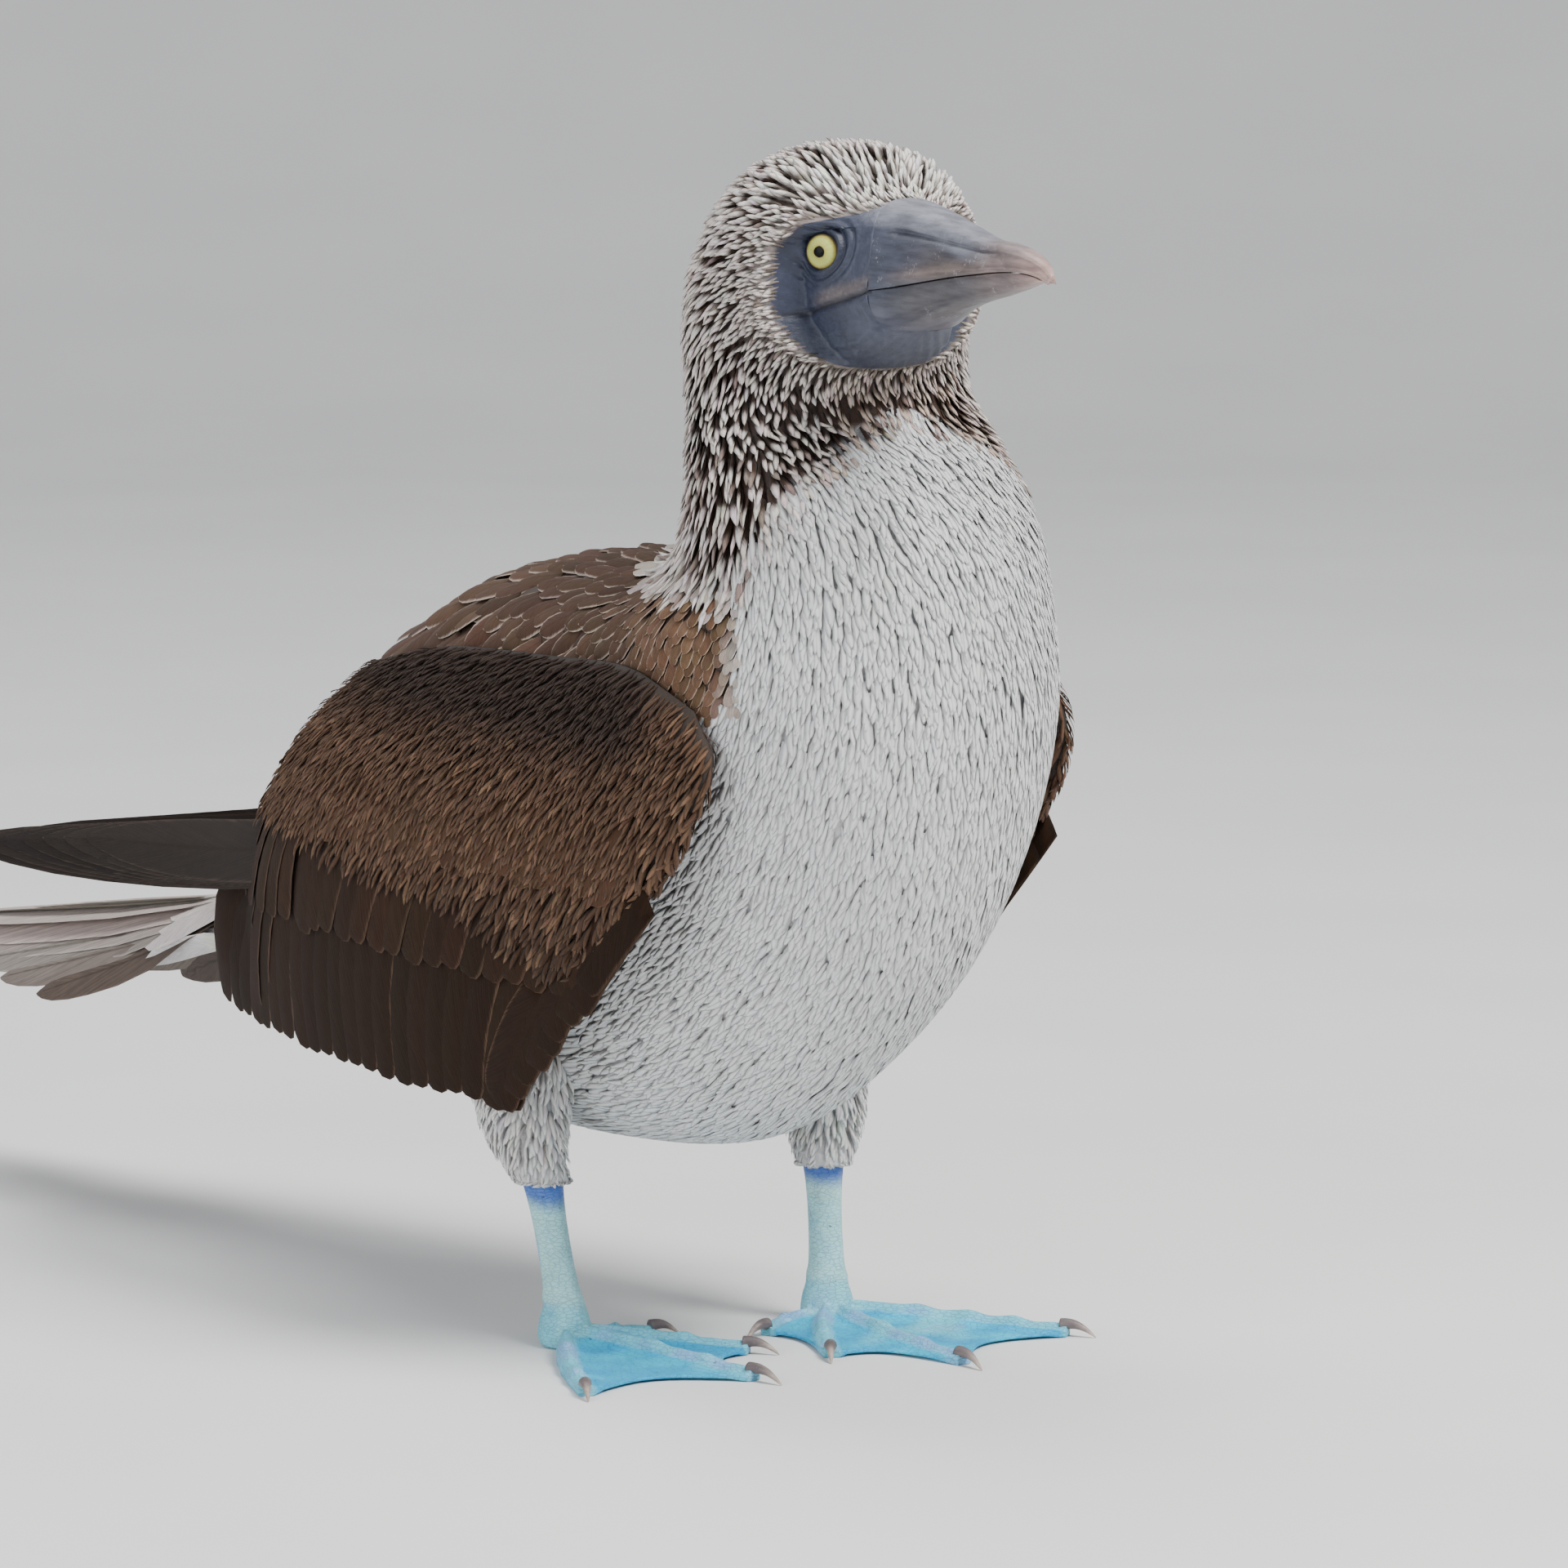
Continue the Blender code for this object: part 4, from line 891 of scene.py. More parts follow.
def make_mantle(mat):
    """Brown back with pale rims; its lowest feathers hang over the wings."""
    rng = np.random.default_rng(7)
    grow = [(-0.02, 0.0026), (0.02, 0.0030), (0.05, 0.0042), (0.09, 0.0062), (0.15, 0.0085), (0.20, 0.0090),
            (0.27, 0.0080)]

    def spacing(p):
        return read_rows(p[..., 1], grow)

    u, v, p, n = sow(OUTER, 60000, lambda p, n: mantle(p), spacing, rng)
    k, sp = len(u), spacing(p)
    x, y, z = p.T
    side = smooth((np.abs(x) - 0.012) / 0.030)
    d = tailward(OUTER, u, v) + np.stack([np.sign(x) * 0.35 * side, 0 * y, -0.85 * side], 1)
    length = sp * rng.uniform(2.3, 2.8, k)
    line = np.interp(y, [0.0, 0.03, 0.08, 0.14, 0.195], [0.211, 0.213, 0.211, 0.205, 0.194])
    edge = smooth((0.014 - (z - line)) / 0.014) * smooth(y / 0.03)
    lift = sp * rng.uniform(0.06, 0.16, k) + 0.0030 * edge
    rows = (*on_skin(OUTER, u, v, d, length, ROUND, -0.7 * depth_at(u, v), lift,
                     sp * rng.uniform(-0.12, 0.02, k), rng, 0.10, 0.10, 0.02),
            outline(sp * rng.uniform(0.66, 0.78, k), ROUND))
    front = smooth((0.055 - y) / 0.05)
    faded = 1 - smooth((azimuth(p) - 77) / 9)
    white = (rng.uniform(size=k) < 0.9 * smooth((z - 0.238) / 0.006) * smooth((0.085 - y) / 0.03))
    white = np.maximum(white, faded * rng.uniform(0.7, 1.0, k))
    root = lay(lay(MANTLE, (0.150, 0.085, 0.050), front), (0.55, 0.48, 0.43), white * 0.85)
    tip = lay(lay(MANTLE_RIM, (0.50, 0.36, 0.27), front), (0.85, 0.82, 0.78), white * 0.9)
    return plume("coat_mantle", rows, on_map(u, v), shade(root, rng, k, 0.12), shade(tip, rng, k, 0.10), mat,
                 rng, camber=0.28, ridge=0.02, m=5, hard=True, rag=0.04)


# Wing surface

SIDES = (("right", -1), ("left", 1))
FLANK_STEP = 0.0015
FLANK_Y = np.arange(-0.040, 0.345, FLANK_STEP)
FLANK_Z = np.arange(0.055, 0.262, FLANK_STEP)


def body_tree():
    faces = grid_faces(OUTER.nv, OUTER.nu, True)
    return BVHTree.FromPolygons([Vector(p) for p in OUTER.g.reshape(-1, 3)], [tuple(map(int, f)) for f in faces])


BODY_TREE = body_tree()


def body_table():
    """How far the body reaches to the side, over y and z."""
    out = np.zeros((len(FLANK_Y), len(FLANK_Z)))
    for i, y in enumerate(FLANK_Y):
        for j, z in enumerate(FLANK_Z):
            hit = BODY_TREE.ray_cast(Vector((0.2, y, z)), Vector((-1, 0, 0)))[0]
            if hit is not None:
                out[i, j] = max(hit.x, 0.0)
    return out


def blurred(a, times):
    for _ in range(times):
        b = np.pad(a, 1, mode="edge")
        a = (b[1:-1, 1:-1] * 4 + b[:-2, 1:-1] + b[2:, 1:-1] + b[1:-1, :-2] + b[1:-1, 2:]) / 8
    return a


BODY_X = body_table()


def read_table(table, y, z):
    i = np.clip((y - FLANK_Y[0]) / FLANK_STEP, 0, len(FLANK_Y) - 1.001)
    j = np.clip((z - FLANK_Z[0]) / FLANK_STEP, 0, len(FLANK_Z) - 1.001)
    a, b = i.astype(int), j.astype(int)
    fi, fj = i - a, j - b
    return ((table[a, b] * (1 - fi) + table[a + 1, b] * fi) * (1 - fj)
            + (table[a, b + 1] * (1 - fi) + table[a + 1, b + 1] * fi) * fj)


def flank_table():
    """How far out the folded wings lie, over y and z."""
    rim = np.concatenate([curve(WING_TOP, 12), curve(WING_REAR, 8)[1:-2]])
    rim_x = np.maximum(read_table(BODY_X, rim[:, 0], rim[:, 1]), 0.03) + 0.0058
    y, z = np.meshgrid(FLANK_Y, FLANK_Z, indexing="ij")
    wide = WING_WIDE - np.where(y < 0.08, 0.12, 0.92) * (y - 0.08) ** 2
    low = np.interp(y, rim[:, 0], rim[:, 1]) - 0.058
    edge = np.minimum(wide, np.interp(y, rim[:, 0], rim_x))
    wide = wide - (wide - edge) * np.clip((z - low) / 0.058, 0, 1.14) ** 2
    wide = wide - 0.0150 * (np.clip(0.15 - z, 0, 1) / 0.075) ** 1.6
    return np.maximum(blurred(wide, 6), BODY_X + 0.0050)


FLANK_X = blurred(flank_table(), 3)


def flank(y, z):
    return read_table(FLANK_X, np.asarray(y, float), np.asarray(z, float))


def carried(p, side):
    """The left wing is held a little higher and wider at the front."""
    wide, high = WING_CARRY["left" if side > 0 else "right"]
    part = smooth((0.085 - p[..., 1]) / 0.085) * smooth((p[..., 2] - 0.09) / 0.07)
    return p + part[..., None] * np.array([side * wide, 0.0, high])


def coons(p, q):
    """Point of the wing's outline patch: p runs from front to rear, q from top to foot."""
    n = 40
    top, foot, front, rear = (curve(r, n) for r in (WING_TOP, WING_FOOT, WING_FRONT, WING_REAR))

    def along(rows, t):
        x = np.clip(t, 0, 1) * (n - 1)
        i = np.minimum(x.astype(int), n - 2)
        f = (x - i)[..., None]
        return rows[i] * (1 - f) + rows[i + 1] * f

    P, Q = p[..., None], q[..., None]
    return ((1 - Q) * along(top, p) + Q * along(foot, p) + (1 - P) * along(front, q) + P * along(rear, q)
            - (1 - P) * (1 - Q) * top[0] - P * (1 - Q) * top[-1] - (1 - P) * Q * foot[0] - P * Q * foot[-1])


def wing_pad(side):
    """The folded wing under its vanes: a flat body with a round leading edge."""
    nose, crown, rows, cols = 0.10, 0.06, 70, 90
    ps = np.linspace(0, 1, cols // 2 + 1) ** 1.6
    under_vanes = [(0.098, 0.0050), (0.120, 0.0036), (0.132, 0.0030), (0.150, 0.0024), (0.172, 0.0018)]
    grid = np.zeros((rows, cols, 3))

    def rounded(share, least):
        return np.sqrt(np.clip(1 - (1 - np.clip(share, 0, 1)) ** 2, least, 1))

    for i, q in enumerate(np.arange(rows) / (rows - 1)):
        y, z = coons(ps, np.full(len(ps), q)).T
        x = flank(y, z) - read_rows(z, under_vanes)
        thick = 0.0085 * (1 - 0.80 * q) * (1 - 0.55 * ps) + 0.0016
        wall = read_table(BODY_X, y, z) + 0.0004
        inner = np.maximum(x - thick, np.minimum(wall, x - 0.0010))
        mid = (x + inner) / 2
        full = rounded(ps / nose, 0) * rounded(q / crown, 0.02)
        outer, under = (np.stack([side * (mid + (face - mid) * full), y, z], 1) for face in (x, inner))
        grid[i] = np.vstack([outer, under[1:-1][::-1]])[:cols]
    return Skin(carried(grid, side))


def flank_vanes(side, root, tip, row, rng):
    """Vanes that lie on the flank, bowed forward and tilted so that each overlaps the next."""
    widths = row["outline"][1]
    t = np.array(row["outline"][0])[None, :, None]
    root, tip = root[:, None, :], tip[:, None, :]
    d = unit(tip - root)
    fwd = np.stack([-np.abs(d[..., 1]), -d[..., 0] * np.sign(-d[..., 1])], -1)
    c = root + (tip - root) * t + fwd * (-row["bend"]) * np.sin(np.pi * t * 0.9)
    n = c.shape[0]
    c = c + fwd * (rng.normal(0, row["wobble"], (n, 1, 1)) * t ** 2)
    t = t[..., 0]
    y, z = c[..., 0], c[..., 1]
    x = flank(y, z) - row["sink"] * (1 - t) - row["lift"] * t
    e = 0.0015
    dy = (flank(y + e, z) - flank(y - e, z)) / (2 * e)
    dz = (flank(y, z + e) - flank(y, z - e)) / (2 * e)
    C = np.stack([side * x, y, z], -1)
    T = unit(np.gradient(C, axis=1))
    B = unit(np.cross(T, unit(np.stack([np.full_like(dy, side * 1.0), -dy, -dz], -1))))
    B = unit(B + np.cross(B, T) * side * row["tilt"])
    return carried(C, side), B, np.cross(B, T), row["half"] * np.array(widths)[None, :] * np.ones((n, 1))


# Rows of vanes on the folded wing: the front vane's tip y, z, the row's span and rise, the lean in degrees,
# the length, and how the vanes lie.
# The rim colours are the vanes' paler edges brightened into a painted highlight of their lit edges; the warm
# brown of the median coverts is partly painted sheen.
WING_ROWS = (
    dict(name="secondaries", count=21, first=(0.094, 0.0735), span=0.206, rise=lambda t: 0.0015 + 0.004 * t ** 4,
         lean=lambda t: 36 - 14 * np.sin(np.pi * np.minimum(t * 1.1, 1)) + 2 * t,
         length=lambda t: 0.070 + 0.012 * t, jitter=0.0006, bend=0.0050, half=0.0102, sink=0.0030, lift=0.0024,
         outline=LONG, tilt=0.085, wobble=0.0012, root=(0.024, 0.012, 0.007), rim=(0.15, 0.095, 0.065),
         mat="vane", order=0.08),
    dict(name="front_coverts", count=9, first=(0.040, 0.1200), span=0.056, rise=lambda t: -0.0440 * t,
         lean=lambda t: 46 - 6 * t, length=lambda t: 0.046 + 0.012 * t, jitter=0.0006, bend=0.0020, half=0.0090,
         sink=0.0016, lift=0.0006, outline=LONG, tilt=0.05, wobble=0.001, root=(0.023, 0.012, 0.007),
         rim=(0.12, 0.075, 0.05), mat="vane", order=0.16),
    dict(name="greater_coverts", count=22, first=(0.046, 0.1170), span=0.222, rise=lambda t: 0.003 * t,
         lean=lambda t: 38 - 10 * t, length=lambda t: 0.050 + 0 * t, jitter=0.0008, bend=0.0030, half=0.0088,
         sink=0.0016, lift=0.0008, outline=LONG, tilt=0.095, wobble=0.001, root=(0.032, 0.016, 0.009),
         rim=(0.17, 0.105, 0.07), mat="covert", order=0.25),
    dict(name="median_coverts", count=24, first=(0.030, 0.1475), span=0.208,
         rise=lambda t: 0.003 * np.sin(np.pi * t), lean=lambda t: 40 - 12 * t, length=lambda t: 0.034 + 0 * t,
         jitter=0.0012, bend=0.001, half=0.0074, sink=0.0010, lift=-0.0004, outline=SHORT, tilt=0.08, wobble=0.0,
         root=(0.085, 0.045, 0.026), rim=(0.24, 0.15, 0.095), mat="covert", order=0.42),
)


def vane_row(word, side, row, mat, rng):
    n = row["count"]
    t = np.arange(n) / (n - 1)
    tip = np.stack([row["first"][0] + row["span"] * t, row["first"][1] + row["rise"](t)], 1)
    tip = tip + rng.normal(0, row["jitter"], tip.shape)
    a = np.radians(row["lean"](t) + rng.normal(0, 1.2, n))
    long = row["length"](t) * (1 + rng.normal(0, 0.02, n))
    root = tip + np.stack([-np.sin(a), np.cos(a)], 1) * long[:, None]
    vanes = flank_vanes(side, root, tip, row, rng)
    place = np.stack([np.linspace(0.03, 0.97, n), np.full(n, row["order"])], 1)
    # The rim colour is the vane's paler edge brightened into a painted highlight of the lit edge.
    return plume(row["name"] + "_" + word, vanes, place,
                 shade(row["root"], rng, n), shade(row["rim"], rng, n, 0.08),
                 mat, rng, camber=0.10, ridge=0.03, m=5, hard=True)


def make_wing(word, side, mats):
    rng = np.random.default_rng(40 + side)
    pad = wing_pad(side)
    pieces = [mesh_object("wing_pad_" + word, *tube(pad.g), mats["pad"])]
    pieces += [vane_row(word, side, row, mats[row["mat"]], rng) for row in WING_ROWS]
    pieces.append(make_lesser(word, side, pad, mats["lesser"], rng))
    pieces.append(make_primaries(word, side, mats["dark"], rng))
    for p in pieces:
        dress(p, "plumage_brown", "wing_" + word)


def make_lesser(word, side, pad, mat, rng):
    """Small hairy coverts over the upper wing and round the leading edge."""
    lowest = [(-0.02, 0.104), (0.02, 0.110), (0.06, 0.128), (0.10, 0.141), (0.20, 0.150)]

    def zone(p, n):
        y, z = p[..., 1], p[..., 2]
        high = 0.009 * (side > 0) * smooth((0.085 - y) / 0.085)
        top = smooth((z - high - read_rows(y, lowest)) / 0.012)
        out = side * n[..., 0]
        near = smooth((0.055 - y) / 0.03) * smooth((out + 1.0) / 0.3)
        return top * np.maximum(smooth((out + 0.5) / 0.3), near)

    def spacing(p):
        return np.interp(p[..., 2], [0.12, 0.17, 0.20], [0.0024, 0.0018, 0.0014])

    u, v, p, n = sow(pad, 70000, zone, spacing, rng)
    k, sp = len(u), spacing(p)
    y, z = p[:, 1], p[:, 2]
    lean = np.radians(np.interp(z, [0.12, 0.16, 0.20], [34, 28, 20]))
    lead = smooth((0.025 - y) / 0.03) * smooth((0.5 - side * n[:, 0]) / 0.5)
    d = np.stack([0.5 * side * lead, np.sin(lean) + 0.5 * lead, -np.cos(lean)], 1)
    length = sp * rng.uniform(4.6, 6.4, k)
    cover = np.interp(z, [0.10, 0.132, 0.150, 0.172, 0.2], [0.0050, 0.0040, 0.0034, 0.0026, 0.0022])
    rows = (*on_skin(pad, u, v, d, length, POINTED, cover - 0.0022, cover + sp * rng.uniform(-0.05, 0.12, k),
                     sp * rng.uniform(-0.08, 0.06, k), rng, 0.13, 0.12, 0.05),
            outline(sp * rng.uniform(0.46, 0.66, k), POINTED))
    top = smooth((z - 0.182) / 0.022) * smooth((y + 0.004) / 0.03)
    low = smooth((0.162 - z) / 0.03)
    # The warm middle band between the dark top and the dark lower edge, and the warmer tips there, are partly
    # painted sheen.
    base = lay(lay(WING_WARM_SHEEN, WING_DARK, top * 0.95), (0.050, 0.028, 0.017), low * 0.85)
    base = lay(base, (0.26, 0.15, 0.09), (rng.uniform(size=k) < 0.16) * 0.45 * (1 - top))
    tip = lay(base * 1.25, (0.24, 0.14, 0.085), 0.22 * (1 - top) * (1 - 0.7 * low))
    return plume("lesser_coverts_" + word, rows, on_map(u, v), shade(base, rng, k, 0.14, 0.02),
                 shade(tip, rng, k, 0.15, 0.04), mat, rng, camber=0.25, rag=0.15)


# The long wing tips seen from above: y, and how far from the middle they lie there.
PRIMARY_PATH = [(0.12, 0.0690), (0.16, 0.0655), (0.20, 0.0570), (0.25, 0.0435), (0.30, 0.0320), (0.36, 0.0215),
                (0.42, 0.0155), (0.48, 0.0125)]


def make_primaries(word, side, mat, rng):
    n = 7
    i = np.arange(n) / (n - 1)
    start = np.stack([0.135 + 0.004 * i, 0.1500 + 0.0035 * i], 1)
    tip = np.stack([0.462 - 0.088 * i, 0.1115 + 0.012 * i], 1)
    t = np.array(PRIMARY[0])
    y, z = np.moveaxis(start[:, None] + (tip - start)[:, None] * t[None, :, None], -1, 0)
    x = read_rows(y, PRIMARY_PATH) + 0.0011 * i[:, None] - 0.0002
    C = np.stack([side * x, y, z - 0.004 * np.sin(np.pi * t)[None]], -1)
    lean = 0.45 * smooth((y - 0.16) / 0.10)
    across = unit(np.stack([-side * lean, 0.15 + 0 * lean, 0.99 + 0 * lean], -1))
    T = unit(np.gradient(C, axis=1))
    flat = unit(np.cross(T, np.broadcast_to([float(side), 0.0, 0.0], C.shape)))
    across = across * np.sign((flat * across).sum(-1, keepdims=True))
    B = unit(across - T * (across * T).sum(-1, keepdims=True))
    place = np.stack([np.linspace(0.1, 0.9, n), np.full(n, 0.6)], 1)
    return plume("primaries_" + word, (C, B, np.cross(B, T), outline(np.full(n, 0.0105), PRIMARY)), place,
                 shade((0.026, 0.019, 0.017), rng, n), shade((0.09, 0.065, 0.05), rng, n), mat, rng,
                 camber=0.10, ridge=0.04, m=7, hard=True)


# Tail

def tail_z(x, y):
    mid = np.interp(y, [0.27, 0.30, 0.34, 0.38, 0.454, 0.50], [0.1200, 0.1130, 0.1050, 0.0985, 0.0880, 0.0820])
    slope = np.clip((y - 0.28) / 0.06, 0, 1)
    return mid - 0.031 * slope * (np.abs(x) / 0.036) ** 1.4


TAIL_END = 0.488
TAIL_STEPS = (0.000, 0.006, 0.022, 0.045, 0.070, 0.097)

# The root of the tail: y, half width, height.
TAIL_ROOT = [(0.280, 0.0135, 0.020), (0.290, 0.0138, 0.0150), (0.300, 0.0150, 0.0085), (0.318, 0.0160, 0.0046),
             (0.338, 0.0158, 0.0030), (0.352, 0.0140, 0.0014)]

# Rows of tail coverts: y, count, half width of the row.
TAIL_COVERTS = ((0.318, 9, 0.021), (0.308, 9, 0.020), (0.298, 8, 0.018), (0.288, 8, 0.016))


def make_rectrices(mat, rng):
    """Twelve tail feathers, from the middle pair outwards, each pair under the one before."""
    lines, ups, half, roots, tips = [], [], [], [], []
    t = np.array(RECTRIX[0])
    e = 0.002
    for k in range(6):
        for side in (-1, 1):
            end = TAIL_END - TAIL_STEPS[k] + rng.normal(0, 0.0008)
            root = np.array([side * (0.0016 + 0.0022 * k), 0.296 + 0.0006 * k])
            tip = np.array([side * (0.0040 + 0.0062 * k) * (1 - 0.03 * k), end])
            x, y = (root + (tip - root) * t[:, None]).T
            z = tail_z(x, y) - (0.0002 + 0.00059 * k + (0.00027 if side > 0 else 0))
            slope = (tail_z(x + e, y) - tail_z(x - e, y)) / (2 * e) * (0.5 if k == 0 else 1.0)
            lines.append(np.stack([x, y, z], 1))
            ups.append(np.stack([-slope, 0 * slope, 1 + 0 * slope], 1))
            half.append(0.0112 - 0.0004 * k)
            roots.append(lay((0.46, 0.40, 0.36), (0.10, 0.075, 0.060), (k / 5) ** 1.5))
            tips.append((0.62, 0.56, 0.52) if k < 4 else (0.20, 0.15, 0.12))
    C = np.array(lines)
    T = unit(np.gradient(C, axis=1))
    B = unit(np.cross(T, unit(np.array(ups))))
    n = len(C)
    place = np.stack([np.linspace(0.05, 0.95, n), np.full(n, 0.3)], 1)
    return plume("rectrices", (C, B, np.cross(B, T), outline(np.array(half), RECTRIX)), place,
                 shade(np.array(roots), rng, n, 0.06), shade(np.array(tips), rng, n, 0.05), mat, rng,
                 camber=0.08, ridge=0.04, m=7, hard=True)


def make_tail(mats):
    rng = np.random.default_rng(61)
    pieces = [make_rectrices(mats["tail"], rng), make_tail_root(mats["pad_tail"])]
    pieces += [make_tail_coverts(name, top, mats["tail_covert"], rng)
               for name, top in (("tail_coverts_top", 1), ("tail_coverts_under", -1))]
    for p in pieces:
        dress(p, "plumage_tail", "tail")


def make_tail_root(mat):
    a = circle(48)
    rings = []
    for y, w, h in TAIL_ROOT:
        x = w * np.cos(a)
        rings.append(np.stack([x, np.full(48, y), tail_z(x, y) - 0.0006 - h * 0.5 + h * 0.5 * np.sin(a)], 1))
    return mesh_object("tail_root", *tube(rings), mat)


def make_tail_coverts(name, top, mat, rng):
    """Coverts laid over or under the roots of the tail."""
    rows = []
    for r, (y, count, wide) in enumerate(TAIL_COVERTS):
        for i in range(count):
            s = (i + 0.5 * (r % 2)) / (count - 1) * 2 - 1
            rows.append((s * wide * 0.75, y - 0.022 + rng.normal(0, 0.001), s * wide,
                         y + 0.022 + rng.normal(0, 0.002), 0.0010 + 0.0008 * r))
    x0, y0, x1, y1, rise = np.array(rows).T[..., None]
    n = len(rows)
    t = np.array(SHORT[0])
    x, y = x0 + (x1 - x0) * t, y0 + (y1 - y0) * t
    low = np.interp(y, [0.27, 0.29, 0.31, 0.34], [0.026, 0.0155, 0.0095, 0.0050])
    z = tail_z(x, y) + (rise * (1 - 0.7 * t) if top > 0 else -low - rise * (1 - 0.6 * t))
    C = np.stack([x, y, z], -1)
    T = unit(np.gradient(C, axis=1))
    B = unit(np.cross(T, unit(np.stack([0.9 * x / 0.02, 0 * x, 0 * x + top], -1))))
    half = 0.0052 * np.array(SHORT[1])[None] * rng.uniform(0.9, 1.1, (n, 1))
    colour = (0.62, 0.57, 0.53) if top > 0 else (0.74, 0.72, 0.69)
    place = np.stack([np.clip(0.5 + x[:, 0] * 15, 0.05, 0.95), np.full(n, 0.5 + 0.2 * top)], 1)
    return plume(name, (C, B, np.cross(B, T), half), place, shade(colour, rng, n, 0.05),
                 shade((0.78, 0.75, 0.72), rng, n, 0.04), mat, rng, camber=0.25, ridge=0.02, m=5, hard=True)


# Bill

# Half outlines of the two halves of the bill: share of the half width, share of the depth.
UPPER_HALF = [(0.0, 0.0), (0.30, 0.030), (0.52, 0.125), (0.645, 0.265), (0.640, 0.330), (0.66, 0.375),
              (0.745, 0.47),
              (0.86, 0.65), (0.945, 0.83), (0.985, 0.93), (0.96, 1.0)]
LOWER_HALF = [(0.93, 0.0), (0.965, 0.05), (0.98, 0.20), (0.93, 0.45), (0.80, 0.70), (0.62, 0.86), (0.42, 0.95),
              (0.0, 1.0)]


def face_colour(p):
    """Bare skin and horn: slate blue at the eye, grey brown along the bill, pinkish at the tip."""
    f, s, z = head_frame(p)
    row = spline(BILL, np.interp(f, [r[0] for r in BILL], np.arange(len(BILL))).ravel())
    depth = row[:, 1].reshape(f.shape) - z
    mouth = z - read_rows(f, BILL, 2)
    out = np.tile(np.array([0.030, 0.038, 0.068]), f.shape + (1,))

    out = lay(out, (0.070, 0.078, 0.112), smooth((f - 0.036) / 0.016))
    # The top plate of the bill: its own bluish grey, lightened further as a painted highlight on the top.
    plate_and_highlight = smooth((0.0088 - depth) / 0.0035) * smooth((f - 0.038) / 0.010)
    out = lay(out, (0.205, 0.215, 0.255), plate_and_highlight)
    side = smooth((f - 0.060) / 0.03) * smooth((depth - 0.006) / 0.004)
    out = lay(out, (0.105, 0.090, 0.090), side * 0.85)
    edge = np.exp(-((mouth - 0.0022) / 0.0022) ** 2)
    out = lay(out, (0.26, 0.19, 0.15), edge * smooth((f - 0.055) / 0.02) * 0.45)
    low = smooth(-mouth / 0.0015)
    out = lay(out, (0.072, 0.070, 0.080), low * smooth((f - 0.054) / 0.024))
    out = lay(out, (0.24, 0.175, 0.160), smooth((f - 0.094) / 0.022) * (1 - 0.4 * low) * 0.8)
    out = lay(out, (0.46, 0.31, 0.27), smooth((f - 0.118) / 0.018) * 0.8)
    fold = smooth((0.322 - z) / 0.008) * (1 - smooth((f - 0.075) / 0.02))
    out = lay(out, (0.052, 0.060, 0.082), fold * 0.7)
    gap = z - read_rows(f, MOUTH_BACK)
    # A brownish painted highlight on the raised fold above the mouth line.
    flap_highlight = np.exp(-((gap - 0.0026) / 0.0022) ** 2) * smooth((f - 0.026) / 0.012)
    flap_highlight = flap_highlight * (1 - smooth((f - 0.050) / 0.006))
    out = lay(out, (0.17, 0.14, 0.13), flap_highlight * 0.75)
    line = np.exp(-(gap / 0.0006) ** 2) * (f < 0.056) * smooth((f - 0.016) / 0.008)
    out = lay(out, (0.012, 0.012, 0.018), line * 0.9)
    eye = np.hypot(f - EYE_AT[0], z - EYE_AT[2])
    out = lay(out, (0.014, 0.018, 0.036), np.exp(-((eye - 0.0075) / 0.0022) ** 2) * 0.65 * (np.abs(s) > 0.008))
    cloudy = 1 + 0.16 * noise3(p, 300, 31) + 0.10 * noise3(p, 900, 32)
    return np.clip(out * cloudy[..., None], 0, 1)


def bill_rings(half, lower, stations):
    """Rings of one half of the bill, from its base to its tip."""
    closed = curve(BASE_HALF, 80)
    pts = []
    for f, zt, zm, zb, w in spline(BILL, stations):
        lean = BILL_LEAN * (1 - smooth((f - 0.047) / 0.06))
        top, h = (zm - 0.0003, zm - 0.0003 - zb) if lower else (zt, zt - zm)
        a, b = half.T
        if lower:
            a = a - 0.06 * smooth((0.095 - f) / 0.03) * np.exp(-((b - 0.80) / 0.05) ** 2)
        else:
            fade = smooth((0.1165 - f) / 0.010)
            groove = 0.085 * smooth((f - 0.0475) / 0.010) * fade
            a = a - groove * np.exp(-((b - 0.345) / 0.045) ** 2)
            a = a + (1 - fade) * 0.06 * np.exp(-((b - 0.33) / 0.10) ** 2)
            nail = f - 0.1085 - 0.0135 * b
            a = a * (1 - 0.045 * np.exp(-(nail / 0.0009) ** 2))
            a = a + 0.02 * (f > 0.1085) * np.exp(-((nail - 0.004) / 0.004) ** 2)
            a = a + 0.018 * np.exp(-((b - 0.90) / 0.035) ** 2) - 0.020 * np.exp(-((b - 0.81) / 0.035) ** 2)
        s, z = w * a, top - h * b
        share = np.interp((zt - z) / (zt - zb), closed[:, 1], closed[:, 0])
        s = s + (w * share - s) * smooth((0.058 - f) / 0.010)
        right, left = (head_point(f + (zt - z) * lean, k * s, z) for k in (1, -1))
        level = zm - 0.0008 if lower else zm + 0.0004
        inner = [head_point(f + (zt - zm) * lean, w * q, level) for q in (0.55, 0.0, -0.55)]
        pts.append(np.vstack([inner[::-1], right, left[:-1][::-1]] if lower else [right, inner, left[1:][::-1]]))
    return np.array(pts)


